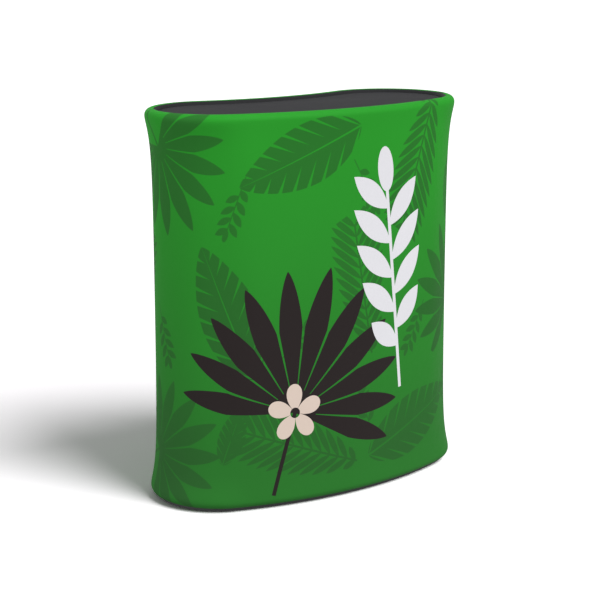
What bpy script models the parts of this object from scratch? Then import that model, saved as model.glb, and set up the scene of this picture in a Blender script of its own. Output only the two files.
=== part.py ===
"""Exhibition counter with a kidney-shaped plan: a stretch-fabric sleeve drawn over two tube hoops.

Metres, +Z up. The floor is z = 0, the visitors' side faces -Y, and the origin is under the middle of
the counter's bounding box. Everything round the counter is placed by one kidney outline, measured
inwards from its widest line, so a change of one radius moves every piece that follows it.
"""

import bmesh
import bpy
import math
import numpy as np
from mathutils import Matrix, Vector

# The kidney outline, on the outer face of the fabric at the two hoops
COUNTER_HEIGHT = 1.000
LOBE_CENTRE_X = 0.271
LOBE_RADIUS = 0.180
FRONT_RADIUS = 0.990
HOLLOW_RADIUS = 0.720
FRONT_STEPS = 10
LOBE_STEPS = 16
DOORWAY_STEPS = 8

# Running gaps between pieces
SEAT_GAP = 0.0003
CUT_OVERRUN = 0.004

# Hoops of bent aluminium tube
HOOP_RADIUS = 0.016
HOOP_WALL = 0.0015
HOOP_SIDES = 8
HOOP_JOINT_GAP = 0.0005
SPIGOT_WALL = 0.0015
FLOOR_TO_FABRIC = 0.0105

# Stretch-fabric sleeve and its elastic hems
FABRIC = 0.0008
DRAW_IN_AT_LOBE = 0.018
DRAW_IN_REACH = 0.070
NEAR_FLARE_LENGTH = 0.052
FAR_FLARE_LENGTH = 0.160
NEAR_FLARE_SHARE = 0.8
PRINT_END_DEG = 98.0
HEM_END_DEG = 176.0

# Doorway in the hollow of the back, and the flap that covers it
DOORWAY_HALF_WIDTH = 0.150
DOORWAY_ROW = 0.105
SLEEVE_ROWS = (0.018, 0.045, DOORWAY_ROW, 0.220)
FLAP_OVERLAP = 0.020
TAPE_MARGIN = 0.003
TAPE = 0.0007
PULL_TAB_WIDTH = 0.025
PULL_TAB_REACH = 0.035
PULL_TAB_THICKNESS = 0.002
PULL_TAB_HEIGHT = 0.600
PULL_TAB_SEWN = 0.020

# Boards
TOP_BELOW_RIM = 0.009
TOP_THICKNESS = 0.018
TOP_EDGE_GAP = 0.001
EDGING = 0.002
EDGING_ROUND = 0.001
SHELF_TOP_HEIGHT = 0.470
SHELF_THICKNESS = 0.015
SHELF_INSET = 0.044
SHELF_NOTCH_GAP = 0.0015
BASE_THICKNESS = 0.008
BASE_INSET = 0.020
PAD_HEIGHT = 0.0015
PAD_INSET = 0.026

# Posts
POST_RADIUS = 0.014
POST_WALL = 0.0015
POST_SIDES = 16
POST_INSET = 0.0545
FRONT_POST_X = 0.235
REAR_POST_DEG = 90.0

# Sockets that join the posts to the hoops
COLLAR_RADIUS = 0.019
COLLAR_HEIGHT = 0.050
SOCKET_FLOOR = 0.006
BORE_GAP = 0.0003
ARM_HALF_WIDTH = 0.012
ARM_ROOT = 0.006
ARM_TIP_INSET = 0.0095
ARM_BEYOND_TUBE = 0.006
SADDLE_DEPTH = 0.0055
HOOP_SEAT_GAP = 0.0004
EAR_HALF_LENGTH = 0.036
EAR_INNER = 0.015
EAR_OUTER = 0.007
EAR_THICKNESS = 0.004
COLLAR_SINK = 0.0005

# Shelf clips
CLIP_RADIUS = 0.022
CLIP_HEIGHT = 0.014

# Pegs under the tabletop: a turned head that fits the post, and a shank screwed into the board
PEG_LENGTH = 0.014
PEG_TIP_TAPER = 0.002
PEG_BORE_GAP = 0.0004
SHANK_RADIUS = 0.003
SHANK_LENGTH = 0.011

# Spring snap clips: a round button on a flat spring leaf
POST_BUTTON_RADIUS = 0.004
HOOP_BUTTON_RADIUS = 0.0035
BUTTON_PROUD = 0.0015
BUTTON_SIDES = 12
BUTTON_FROM_END = 0.034
LEAF_THICKNESS = 0.0008
LEAF_WIDTH = 0.007
LEAF_LENGTH = 0.026
LEAF_WALL_GAP = 0.0012

# Worked out from the sizes above
WRAP_RADIUS = HOOP_RADIUS + SEAT_GAP + FABRIC
HOOP_INSET = WRAP_RADIUS
TOP_HOOP_Z = COUNTER_HEIGHT - WRAP_RADIUS
BOTTOM_HOOP_Z = FLOOR_TO_FABRIC + WRAP_RADIUS
FRONT_CENTRE_Y = math.sqrt((FRONT_RADIUS - LOBE_RADIUS) ** 2 - LOBE_CENTRE_X**2)
HOLLOW_CENTRE_Y = math.sqrt((HOLLOW_RADIUS + LOBE_RADIUS) ** 2 - LOBE_CENTRE_X**2)
MIDDLE_Y = (FRONT_CENTRE_Y - FRONT_RADIUS + LOBE_RADIUS) / 2
FLAP_HALF_WIDTH = DOORWAY_HALF_WIDTH + FLAP_OVERLAP
TABLE_Z = COUNTER_HEIGHT - TOP_BELOW_RIM
TABLE_UNDERSIDE = TABLE_Z - TOP_THICKNESS
TABLE_INSET = HOOP_INSET + WRAP_RADIUS + TOP_EDGE_GAP
BASE_Z = PAD_HEIGHT + SEAT_GAP
BASE_TOP = BASE_Z + BASE_THICKNESS
SHELF_UNDERSIDE = SHELF_TOP_HEIGHT - SHELF_THICKNESS
FOOT_Z = BASE_TOP + SEAT_GAP
HEAD_Z = TABLE_UNDERSIDE - SEAT_GAP
POST_BORE = POST_RADIUS - POST_WALL
COLLAR_BORE = POST_RADIUS + BORE_GAP
PEG_RADIUS = POST_BORE - PEG_BORE_GAP
BUTTON_TURN = 1.5 * 360 / HOOP_SIDES
FLAP_LIFT = SEAT_GAP + TAPE + SEAT_GAP + TAPE + SEAT_GAP

# Finishes: display colour, roughness, metallic
FINISHES = {
    "printed_fabric": ((46, 148, 45), 0.75, 0.0),
    "black_webbing": ((34, 34, 36), 0.85, 0.0),
    "dark_laminate": ((72, 72, 74), 0.55, 0.0),
    "black_edging": ((38, 38, 40), 0.45, 0.0),
    "aluminium_tube": ((178, 180, 184), 0.35, 1.0),
    "black_nylon": ((30, 30, 32), 0.55, 0.0),
    "zinc_steel": ((150, 152, 156), 0.3, 1.0),
    "grey_foam": ((88, 88, 90), 0.95, 0.0),
}


def linear(channel):
    """A display colour channel, 0 to 255, as a linear value."""
    c = channel / 255
    return c / 12.92 if c <= 0.04045 else ((c + 0.055) / 1.055) ** 2.4


def material(finish):
    """The Principled material of a finish, made once."""
    found = bpy.data.materials.get(finish)
    if found:
        return found
    colour, roughness, metallic = FINISHES[finish]
    made = bpy.data.materials.new(finish)
    made.use_nodes = True
    shader = made.node_tree.nodes["Principled BSDF"]
    shader.inputs["Base Color"].default_value = (*map(linear, colour), 1.0)
    shader.inputs["Roughness"].default_value = roughness
    shader.inputs["Metallic"].default_value = metallic
    return made


def add_object(name, bm, finish=None, smooth_deg=35.0):
    """Links a bmesh as an object. Without a finish it is a hidden cutter."""
    bmesh.ops.remove_doubles(bm, verts=bm.verts, dist=1e-7)
    bmesh.ops.recalc_face_normals(bm, faces=bm.faces)
    mesh = bpy.data.meshes.new(name)
    bm.to_mesh(mesh)
    bm.free()
    obj = bpy.data.objects.new(name, mesh)
    bpy.context.scene.collection.objects.link(obj)
    if finish is None:
        obj.hide_render = True
        obj.display_type = "WIRE"
        return obj
    mesh.materials.append(material(finish))
    mesh.shade_smooth()
    mesh.set_sharp_from_angle(angle=math.radians(smooth_deg))
    return obj


def boolean(obj, other, operation):
    """Adds one exact Boolean to obj."""
    step = obj.modifiers.new(f"{operation.lower()}_{other.name}", "BOOLEAN")
    step.operation = operation
    step.solver = "EXACT"
    step.object = other


def cut(obj, *cutters):
    for cutter in cutters:
        boolean(obj, cutter, "DIFFERENCE")


def place(origin, turn=0.0):
    """The matrix that turns a local shape about Z and puts it at origin."""
    return Matrix.Translation(Vector(origin)) @ Matrix.Rotation(turn, 4, "Z")


def prism(bm, outline, low, high, matrix=None):
    """Extrudes a flat outline of (x, y) points from height low to height high."""
    face = bm.faces.new([bm.verts.new((x, y, low)) for x, y in outline])
    rise = bmesh.ops.extrude_face_region(bm, geom=[face])
    risen = [v for v in rise["geom"] if isinstance(v, bmesh.types.BMVert)]
    bmesh.ops.translate(bm, verts=risen, vec=(0, 0, high - low))
    if matrix:
        bmesh.ops.transform(bm, matrix=matrix, verts=list({*face.verts, *risen}))


def circle(radius, sides):
    """Points of a regular polygon whose corners lie on the circle."""
    turns = [math.tau * i / sides for i in range(sides)]
    return [(radius * math.cos(a), radius * math.sin(a)) for a in turns]


def rectangle(x0, x1, y0, y1):
    return [(x0, y0), (x1, y0), (x1, y1), (x0, y1)]


def pin(bm, start, direction, radius, length, sides):
    """A round pin from start along direction."""
    aim = Vector(direction).normalized()
    turn = aim.to_track_quat("Z", "Y").to_matrix().to_4x4()
    prism(bm, circle(radius, sides), 0.0, length, Matrix.Translation(Vector(start)) @ turn)


def pin_cutter(name, start, direction, radius, length, sides):
    bm = bmesh.new()
    pin(bm, start, direction, radius, length, sides)
    return add_object(name, bm)


class Stations:
    """The kidney outline as points with outward normals, counterclockwise from the front's middle."""

    def __init__(self):
        turn_in = math.atan2(LOBE_CENTRE_X, FRONT_CENTRE_Y)
        turn_out = math.atan2(LOBE_CENTRE_X, HOLLOW_CENTRE_Y)
        points, normals, bends = [], [], []

        def arc(centre_x, centre_y, radius, angles, outward):
            for a in angles:
                across = np.array((math.cos(a), math.sin(a)))
                points.append(np.array((centre_x, centre_y - MIDDLE_Y)) + radius * across)
                normals.append(outward * across)
                bends.append(outward / radius)

        quarter = math.pi / 2
        front = np.linspace(-quarter, -quarter + turn_in, FRONT_STEPS // 2 + 1)
        arc(0, FRONT_CENTRE_Y, FRONT_RADIUS, front, 1)
        lobe = np.linspace(-quarter + turn_in, quarter + turn_out, LOBE_STEPS + 1)[1:]
        arc(LOBE_CENTRE_X, 0, LOBE_RADIUS, lobe, 1)
        inside = np.linspace(DOORWAY_HALF_WIDTH, 0, DOORWAY_STEPS // 2 + 1)
        half = [math.asin(x / HOLLOW_RADIUS) for x in (FLAP_HALF_WIDTH, *inside)]
        arc(0, HOLLOW_CENTRE_Y, HOLLOW_RADIUS, [a - quarter for a in half], -1)
        self.back = len(points) - 1
        mirror = np.array((-1, 1))
        others = range(self.back - 1, 0, -1)
        points += [points[i] * mirror for i in others]
        normals += [normals[i] * mirror for i in others]
        bends += [bends[i] for i in others]
        self.points = np.array(points)
        self.normals = np.array(normals)
        self.count = len(points)
        self.doorway_first = self.back - DOORWAY_STEPS // 2
        self.doorway_last = self.back + DOORWAY_STEPS // 2
        self.draw_in = self.smoothed(np.array(bends)) * DRAW_IN_AT_LOBE * LOBE_RADIUS

    def smoothed(self, bends):
        """The bend at each station, averaged over the fabric within reach of it."""
        steps = np.linalg.norm(np.roll(self.points, -1, 0) - self.points, axis=1)
        along = np.concatenate(([0.0], np.cumsum(steps)[:-1]))
        apart = np.abs(along[:, None] - along[None, :])
        apart = np.minimum(apart, steps.sum() - apart)
        weight = np.cos(np.clip(apart / DRAW_IN_REACH, 0, 1) * math.pi / 2) ** 2
        weight = weight * (steps + np.roll(steps, 1))[None, :]
        return (weight @ bends) / weight.sum(1)

    def at(self, index):
        """Point, normal and draw-in at a station, or between two where index isn't whole."""
        low = math.floor(index)
        share = index - low
        a, b = low % self.count, (low + 1) % self.count
        normal = self.normals[a] * (1 - share) + self.normals[b] * share
        point = self.points[a] * (1 - share) + self.points[b] * share
        draw = self.draw_in[a] * (1 - share) + self.draw_in[b] * share
        return point, normal / np.linalg.norm(normal), draw

    def inset(self, distance):
        """The outline moved inwards by distance."""
        return [tuple(p - n * distance) for p, n in zip(self.points, self.normals)]


def flare_share(distance):
    """How much of the full draw-in the sleeve has at this distance from the nearer hoop."""
    near = NEAR_FLARE_SHARE * math.exp(-distance / NEAR_FLARE_LENGTH)
    far = (1 - NEAR_FLARE_SHARE) * math.exp(-distance / FAR_FLARE_LENGTH)
    return 1 - near - far


def sleeve_heights():
    """Heights of the sleeve's rows, from the lower hoop's middle to the upper hoop's."""
    half = (TOP_HOOP_Z - BOTTOM_HOOP_Z) / 2
    rows = sorted({0.0, *SLEEVE_ROWS})
    lower = [BOTTOM_HOOP_Z + row for row in rows]
    upper = [TOP_HOOP_Z - row for row in reversed(rows)]
    return [*lower, BOTTOM_HOOP_Z + half, *upper]


def sleeve_share(height):
    """The flare share on the sleeve's faceted surface at a height."""
    rows = sleeve_heights()
    shares = [flare_share(min(z - BOTTOM_HOOP_Z, TOP_HOOP_Z - z)) for z in rows]
    return float(np.interp(height, rows, shares))


def facet_radius(radius, turn_deg):
    """Distance from a hoop's axis to the flats of its polygon, corner radius given, at a turn."""
    half = 180 / HOOP_SIDES
    off = (turn_deg % (2 * half)) - half
    return radius * math.cos(math.radians(half)) / math.cos(math.radians(off))


def wrap_point(station, hoop_z, radius, turn_deg):
    """A point round a hoop's tube. Turn 0 faces out, 90 up, 180 in."""
    point, normal, _ = station
    r = facet_radius(radius, turn_deg)
    a = math.radians(turn_deg)
    flat = point - normal * (HOOP_INSET - r * math.cos(a))
    return (flat[0], flat[1], hoop_z + r * math.sin(a))


def sleeve_point(station, height, lift):
    """A point at a height on the sleeve's outer face, raised by lift along the normal."""
    point, normal, draw = station
    flat = point - normal * (draw * sleeve_share(height) - lift)
    return (flat[0], flat[1], height)


def sheet_solid(name, finish, outer, inner, ring, holes=()):
    """A thin solid between two grids of points. holes are (column, row) cells left out."""
    bm = bmesh.new()
    grids = [[[bm.verts.new(p) for p in column] for column in grid] for grid in (outer, inner)]
    columns, rows = len(outer), len(outer[0])
    spans = columns if ring else columns - 1
    kept = {(c, r) for c in range(spans) for r in range(rows - 1)} - set(holes)

    def corners(grid, c, r):
        d = (c + 1) % columns
        return grid[c][r], grid[d][r], grid[d][r + 1], grid[c][r + 1]

    for c, r in kept:
        bm.faces.new(corners(grids[0], c, r))
        bm.faces.new(reversed(corners(grids[1], c, r)))
        out, back = corners(grids[0], c, r), corners(grids[1], c, r)
        left = (c - 1) % spans if ring else c - 1
        right = (c + 1) % spans if ring else c + 1
        for cell, i, j in (((c, r - 1), 0, 1), ((right, r), 1, 2), ((c, r + 1), 2, 3), ((left, r), 3, 0)):
            if cell not in kept:
                bm.faces.new((out[j], out[i], back[i], back[j]))
    add_object(name, bm, finish)


def swept_tube(name, finish, stations, path, hoop_z, outer, inner, end_gap):
    """A tube along part of a hoop, open at both ends, kept end_gap short of the counter's middle."""
    bm = bmesh.new()
    turns = [360 * i / HOOP_SIDES for i in range(HOOP_SIDES)]
    loops = []
    for place_in_path, index in enumerate(path):
        point, normal, draw = stations.at(index)
        if place_in_path in (0, len(path) - 1) and end_gap:
            inward = np.sign(stations.at(path[len(path) // 2])[0][0])
            point = point + np.array((inward * end_gap, 0))
        station = (point, normal, draw)
        loops.append([[bm.verts.new(wrap_point(station, hoop_z, r, t)) for t in turns] for r in (outer, inner)])
    for near, far in zip(loops, loops[1:]):
        for layer in (0, 1):
            for i in range(HOOP_SIDES):
                j = (i + 1) % HOOP_SIDES
                bm.faces.new((near[layer][i], near[layer][j], far[layer][j], far[layer][i]))
    for end in (loops[0], loops[-1]):
        for i in range(HOOP_SIDES):
            j = (i + 1) % HOOP_SIDES
            bm.faces.new((end[0][i], end[0][j], end[1][j], end[1][i]))
    return add_object(name, bm, finish)


def hoop_cutter(name, stations, hoop_z):
    """The whole hoop as a solid ring, a seat gap larger, to cut saddles."""
    bm = bmesh.new()
    turns = [360 * i / HOOP_SIDES for i in range(HOOP_SIDES)]
    radius = HOOP_RADIUS + HOOP_SEAT_GAP
    loops = [[bm.verts.new(wrap_point(stations.at(k), hoop_z, radius, t)) for t in turns] for k in range(stations.count)]
    for k, near in enumerate(loops):
        far = loops[(k + 1) % len(loops)]
        for i in range(HOOP_SIDES):
            j = (i + 1) % HOOP_SIDES
            bm.faces.new((near[i], near[j], far[j], far[i]))
    return add_object(name, bm)


def tube(name, finish, centre, low, high, outer, inner, sides, turn):
    """An upright tube made by bridging two polygon loops at each end."""
    bm = bmesh.new()
    matrix = place((centre[0], centre[1], 0.0), turn)
    rings = []
    for z, radius in ((low, outer), (high, outer), (high, inner), (low, inner)):
        rings.append([bm.verts.new(matrix @ Vector((x, y, z))) for x, y in circle(radius, sides)])
    for a, b in zip(rings, rings[1:] + rings[:1]):
        for i in range(sides):
            j = (i + 1) % sides
            bm.faces.new((a[i], a[j], b[j], b[i]))
    return add_object(name, bm, finish)


def build_hoop(stations, level, hoop_z, button_deg):
    """Two half hoops, and the spigots and snap clips that join them."""
    back, count = stations.back, stations.count
    halves = {"right": list(range(back + 1)), "left": list(range(back, count + 1))}
    made = {}
    for side, path in halves.items():
        made[side] = swept_tube(
            f"{level}_hoop_{side}", "aluminium_tube", stations, path, hoop_z,
            HOOP_RADIUS, HOOP_RADIUS - HOOP_WALL, HOOP_JOINT_GAP / 2,
        )
    spigot_outer = HOOP_RADIUS - HOOP_WALL - SEAT_GAP
    spigot_inner = spigot_outer - SPIGOT_WALL
    for end, middle, step in (("front", 0, 1), ("back", back, -1)):
        spigot = swept_tube(
            f"{level}_{end}_spigot", "aluminium_tube", stations, [middle - 1, middle, middle + 1],
            hoop_z, spigot_outer, spigot_inner, 0.0,
        )
        seat = hoop_seat(stations, middle + step / 2, hoop_z, button_deg)
        axis_point, outward, _ = seat
        hole = pin_cutter(
            f"{level}_{end}_button_hole", axis_point, outward, HOOP_BUTTON_RADIUS + SEAT_GAP,
            HOOP_RADIUS + CUT_OVERRUN, BUTTON_SIDES,
        )
        cut(made["right"], hole)
        cut(spigot, hole)
        build_hoop_clip(f"{level}_{end}_snap_clip", seat, spigot_inner)


def hoop_seat(stations, index, hoop_z, turn_deg):
    """Where a clip stands on a hoop: a point on the tube's axis, outward and along directions."""
    point, normal, _ = stations.at(index)
    a = math.radians(turn_deg)
    flat = point - normal * HOOP_INSET
    outward = Vector((normal[0] * math.cos(a), normal[1] * math.cos(a), math.sin(a)))
    along = Vector((-normal[1], normal[0], 0.0))
    return Vector((flat[0], flat[1], hoop_z)), outward, along


def leaf_block(bm, centre, outward, along, near, length):
    """A flat spring leaf across the outward direction, its inner face near from the centre."""
    across = outward.cross(along)
    frame = Matrix((along, across, outward)).transposed().to_4x4()
    frame.translation = centre
    half = length / 2
    outline = rectangle(-half, half, -LEAF_WIDTH / 2, LEAF_WIDTH / 2)
    prism(bm, outline, near, near + LEAF_THICKNESS, frame)


def build_hoop_clip(name, seat, bore):
    """A snap clip inside a spigot: its leaf lies along the hoop, and its button stands out of both tubes."""
    centre, outward, along = seat
    flat = math.cos(math.pi / HOOP_SIDES)
    leaf_at = bore * flat - LEAF_WALL_GAP - LEAF_THICKNESS
    tip = HOOP_RADIUS * flat + BUTTON_PROUD
    bm = bmesh.new()
    start = leaf_at + LEAF_THICKNESS / 2
    pin(bm, centre + outward * start, outward, HOOP_BUTTON_RADIUS, tip - start, BUTTON_SIDES)
    leaf = bmesh.new()
    leaf_block(leaf, centre, outward, along, leaf_at, LEAF_LENGTH)
    body = add_object(name, bm, "zinc_steel")
    boolean(body, add_object(f"{name}_leaf", leaf), "UNION")


def turned(bm, profile, origin, direction, sides):
    """A solid turned about direction from (radius, height) points, closed by flat ends."""
    turn = Vector(direction).normalized().to_track_quat("Z", "Y").to_matrix().to_4x4()
    matrix = Matrix.Translation(Vector(origin)) @ turn
    rings = []
    for radius, height in profile:
        rings.append([bm.verts.new(matrix @ Vector((x, y, height))) for x, y in circle(radius, sides)])
    for a, b in zip(rings, rings[1:]):
        for i in range(sides):
            j = (i + 1) % sides
            bm.faces.new((a[i], a[j], b[j], b[i]))
    bm.faces.new(reversed(rings[0]))
    bm.faces.new(rings[-1])


class Post:
    """Where a post stands: its axis, and the outward direction of the outline beside it."""

    def __init__(self, name, side, rear):
        self.name = name
        if rear:
            angle = math.radians(REAR_POST_DEG)
            centre = Vector((LOBE_CENTRE_X, -MIDDLE_Y))
            radius = LOBE_RADIUS - POST_INSET
        else:
            angle = -math.acos(FRONT_POST_X / (FRONT_RADIUS - POST_INSET))
            centre = Vector((0.0, FRONT_CENTRE_Y - MIDDLE_Y))
            radius = FRONT_RADIUS - POST_INSET
        outward = Vector((math.cos(angle), math.sin(angle)))
        axis = centre + outward * radius
        self.axis = (side * axis.x, axis.y)
        self.outward = Vector((side * outward.x, outward.y, 0.0))
        self.turn = math.atan2(self.outward.y, self.outward.x)

    def local(self, z):
        """The post's own frame at height z, with X pointing out of the counter."""
        return place((self.axis[0], self.axis[1], z), self.turn)

    def point(self, out, along, z):
        return self.local(z) @ Vector((out, along, 0.0))


def posts():
    return [
        Post("front_right", 1, False),
        Post("rear_right", 1, True),
        Post("rear_left", -1, True),
        Post("front_left", -1, False),
    ]


def build_post(post):
    """A straight post, its two spring clips, and the holes for their buttons."""
    foot = FOOT_Z + SOCKET_FLOOR + SEAT_GAP
    body = tube(
        f"post_{post.name}", "aluminium_tube", post.axis, foot, HEAD_Z,
        POST_RADIUS, POST_BORE, POST_SIDES, post.turn,
    )
    for end, height in (("foot", FOOT_Z + BUTTON_FROM_END), ("head", HEAD_Z - BUTTON_FROM_END)):
        inward = -post.outward
        start = post.point(0.0, 0.0, height)
        hole = pin_cutter(
            f"{end}_button_hole_{post.name}", start, inward, POST_BUTTON_RADIUS + SEAT_GAP,
            COLLAR_RADIUS + CUT_OVERRUN, BUTTON_SIDES,
        )
        cut(body, hole)
        build_post_clip(f"{end}_snap_clip_{post.name}", start, inward, 1 if end == "foot" else -1)


def build_post_clip(name, start, inward, rise):
    """A snap clip inside a post: an upright leaf, and a button out through the post and the collar."""
    flat = math.cos(math.pi / POST_SIDES)
    leaf_at = POST_BORE * flat - LEAF_WALL_GAP - LEAF_THICKNESS
    tip = COLLAR_RADIUS + BUTTON_PROUD
    bm = bmesh.new()
    root = leaf_at + LEAF_THICKNESS / 2
    pin(bm, start + inward * root, inward, POST_BUTTON_RADIUS, tip - root, BUTTON_SIDES)
    body = add_object(name, bm, "zinc_steel")
    leaf = bmesh.new()
    middle = start + Vector((0, 0, rise * (LEAF_LENGTH / 2 - POST_BUTTON_RADIUS)))
    leaf_block(leaf, middle, inward, Vector((0, 0, 1)), leaf_at, LEAF_LENGTH)
    boolean(body, add_object(f"{name}_leaf", leaf), "UNION")


def build_socket(post, hoop, level):
    """A moulded socket: a collar round the post's end, and an arm with a saddle for the hoop."""
    foot = level == "foot"
    up = 1 if foot else -1
    seat = FOOT_Z if foot else HEAD_Z
    hoop_z = BOTTOM_HOOP_Z if foot else TOP_HOOP_Z

    def span(a, b):
        """Two heights above the socket's seat, in rising order."""
        return sorted((seat + up * a, seat + up * b))

    bm = bmesh.new()
    start = COLLAR_SINK if foot else 0.0
    prism(bm, circle(COLLAR_RADIUS, POST_SIDES), *span(start, COLLAR_HEIGHT), post.local(0.0))
    body = add_object(f"{level}_socket_{post.name}", bm, "black_nylon")

    arm = bmesh.new()
    reach = POST_INSET - ARM_TIP_INSET
    low = hoop_z + up * (HOOP_RADIUS - SADDLE_DEPTH)
    high = hoop_z + up * (HOOP_RADIUS + ARM_BEYOND_TUBE)
    outline = rectangle(COLLAR_RADIUS - ARM_ROOT, reach, -ARM_HALF_WIDTH, ARM_HALF_WIDTH)
    prism(arm, outline, *sorted((low, high)), post.local(0.0))
    boolean(body, add_object(f"{level}_arm_{post.name}", arm), "UNION")
    if foot:
        ear = bmesh.new()
        outline = rectangle(-EAR_INNER, EAR_OUTER, -EAR_HALF_LENGTH, EAR_HALF_LENGTH)
        prism(ear, outline, *span(0.0, EAR_THICKNESS), post.local(0.0))
        boolean(body, add_object(f"ears_{post.name}", ear), "UNION")
    bore = bmesh.new()
    floor = SOCKET_FLOOR if foot else -CUT_OVERRUN
    prism(bore, circle(COLLAR_BORE, POST_SIDES), *span(floor, COLLAR_HEIGHT + CUT_OVERRUN), post.local(0.0))
    cut(body, add_object(f"{level}_bore_{post.name}", bore), hoop)
    cut(body, bpy.data.objects[f"{level}_button_hole_{post.name}"])


def build_tabletop(stations, all_posts):
    """Laminated top, its edging, and the pegs that drop into the posts."""
    bm = bmesh.new()
    prism(bm, stations.inset(TABLE_INSET + EDGING + SEAT_GAP), TABLE_UNDERSIDE, TABLE_Z)
    board = add_object("tabletop_board", bm, "dark_laminate")

    edging = bmesh.new()
    section = [
        (EDGING, TABLE_UNDERSIDE),
        (0.0, TABLE_UNDERSIDE),
        (0.0, TABLE_Z - EDGING_ROUND),
        (EDGING_ROUND, TABLE_Z),
        (EDGING, TABLE_Z),
    ]
    loops = []
    for point, normal in zip(stations.points, stations.normals):
        across = [point - normal * (TABLE_INSET + depth) for depth, _ in section]
        loops.append([edging.verts.new((p[0], p[1], z)) for p, (_, z) in zip(across, section)])
    for k, near in enumerate(loops):
        far = loops[(k + 1) % len(loops)]
        for i in range(len(section)):
            j = (i + 1) % len(section)
            edging.faces.new((near[i], near[j], far[j], far[i]))
    add_object("tabletop_edging", edging, "black_edging")

    for post in all_posts:
        peg = bmesh.new()
        profile = [
            (PEG_RADIUS - PEG_TIP_TAPER, 0.0),
            (PEG_RADIUS, PEG_TIP_TAPER),
            (PEG_RADIUS, PEG_LENGTH),
            (SHANK_RADIUS, PEG_LENGTH),
            (SHANK_RADIUS, PEG_LENGTH + SEAT_GAP + SHANK_LENGTH),
        ]
        foot = post.point(0.0, 0.0, HEAD_Z - PEG_LENGTH)
        turned(peg, profile, foot, (0, 0, 1), POST_SIDES)
        add_object(f"tabletop_peg_{post.name}", peg, "black_nylon")
        hole = pin_cutter(
            f"peg_hole_{post.name}", post.point(0.0, 0.0, HEAD_Z - CUT_OVERRUN), (0, 0, 1),
            SHANK_RADIUS + SEAT_GAP, CUT_OVERRUN + SEAT_GAP + SHANK_LENGTH + SEAT_GAP, POST_SIDES,
        )
        cut(board, hole)


def build_base(stations):
    """Base board under the lower hoop, and the non-slip sheet stuck to its underside."""
    bm = bmesh.new()
    prism(bm, stations.inset(BASE_INSET), BASE_Z, BASE_TOP)
    add_object("base_board", bm, "dark_laminate")
    pad = bmesh.new()
    prism(pad, stations.inset(PAD_INSET), 0.0, PAD_HEIGHT)
    add_object("floor_pad", pad, "grey_foam")


def build_shelf(stations, all_posts):
    """Shelf notched round the posts, resting on a clip on each."""
    bm = bmesh.new()
    prism(bm, stations.inset(SHELF_INSET), SHELF_UNDERSIDE, SHELF_TOP_HEIGHT)
    shelf = add_object("shelf_board", bm, "dark_laminate")
    clip_top = SHELF_UNDERSIDE - SEAT_GAP
    for post in all_posts:
        notch = bmesh.new()
        radius = POST_RADIUS + SHELF_NOTCH_GAP
        outline = [(x, y) for x, y in circle(radius, POST_SIDES) if x < SEAT_GAP]
        outline.sort(key=lambda p: p[1])
        outline += [(POST_INSET, radius), (POST_INSET, -radius)]
        prism(notch, outline, SHELF_UNDERSIDE - CUT_OVERRUN, SHELF_TOP_HEIGHT + CUT_OVERRUN, post.local(0.0))
        cut(shelf, add_object(f"shelf_notch_{post.name}", notch))
        tube(
            f"shelf_clip_{post.name}", "black_nylon", post.axis, clip_top - CLIP_HEIGHT, clip_top,
            CLIP_RADIUS, COLLAR_BORE, POST_SIDES, post.turn,
        )


def build_sleeve(stations):
    """The printed sleeve: round the lower hoop, up the sides and over the upper hoop, with a doorway."""
    turns = [*range(0, math.ceil(PRINT_END_DEG), 360 // HOOP_SIDES), PRINT_END_DEG]
    heights = sleeve_heights()
    outer, inner = [], []
    for k in range(stations.count):
        station = stations.at(k)
        for grid, radius, lift in ((outer, WRAP_RADIUS, 0.0), (inner, WRAP_RADIUS - FABRIC, -FABRIC)):
            under = [wrap_point(station, BOTTOM_HOOP_Z, radius, -t) for t in reversed(turns[1:])]
            side = [sleeve_point(station, z, lift) for z in heights]
            over = [wrap_point(station, TOP_HOOP_Z, radius, t) for t in turns[1:]]
            grid.append([*under, *side, *over])
    first_row = len(turns) - 1
    low = first_row + heights.index(BOTTOM_HOOP_Z + DOORWAY_ROW)
    high = first_row + heights.index(TOP_HOOP_Z - DOORWAY_ROW)
    doorway = [
        (c, r)
        for c in range(stations.doorway_first, stations.doorway_last)
        for r in range(low, high)
    ]
    sheet_solid("fabric_sleeve", "printed_fabric", outer, inner, True, doorway)


def build_hem(stations, name, hoop_z, side):
    """An elastic hem on the inner side of a hoop, from the printed fabric's edge inwards."""
    gap_deg = math.degrees(SEAT_GAP / WRAP_RADIUS)
    step = 360 // HOOP_SIDES
    start = PRINT_END_DEG + gap_deg
    turns = [start, *range(step * math.ceil(start / step), math.ceil(HEM_END_DEG), step), HEM_END_DEG]
    grids = [
        [[wrap_point(stations.at(k), hoop_z, radius, side * t) for t in turns] for k in range(stations.count)]
        for radius in (WRAP_RADIUS, WRAP_RADIUS - FABRIC)
    ]
    sheet_solid(name, "black_webbing", grids[0], grids[1], True)


def panel_columns(stations, first_x, last_x):
    """Station indices along the hollow between two distances from its middle, the +X side first."""
    step = DOORWAY_HALF_WIDTH / (DOORWAY_STEPS // 2)

    def index(x):
        if abs(x) <= DOORWAY_HALF_WIDTH:
            return stations.back - x / step
        beyond = (abs(x) - DOORWAY_HALF_WIDTH) / FLAP_OVERLAP
        return stations.back - math.copysign(DOORWAY_STEPS // 2 + beyond, x)

    ends = (index(first_x), index(last_x))
    return sorted({*ends, *range(math.ceil(ends[0]), math.floor(ends[1]) + 1)})


def panel_rows(low, high):
    """Heights between two ends, with the sleeve's own rows between them."""
    return sorted({low, high, *(z for z in sleeve_heights() if low < z < high)})


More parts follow.
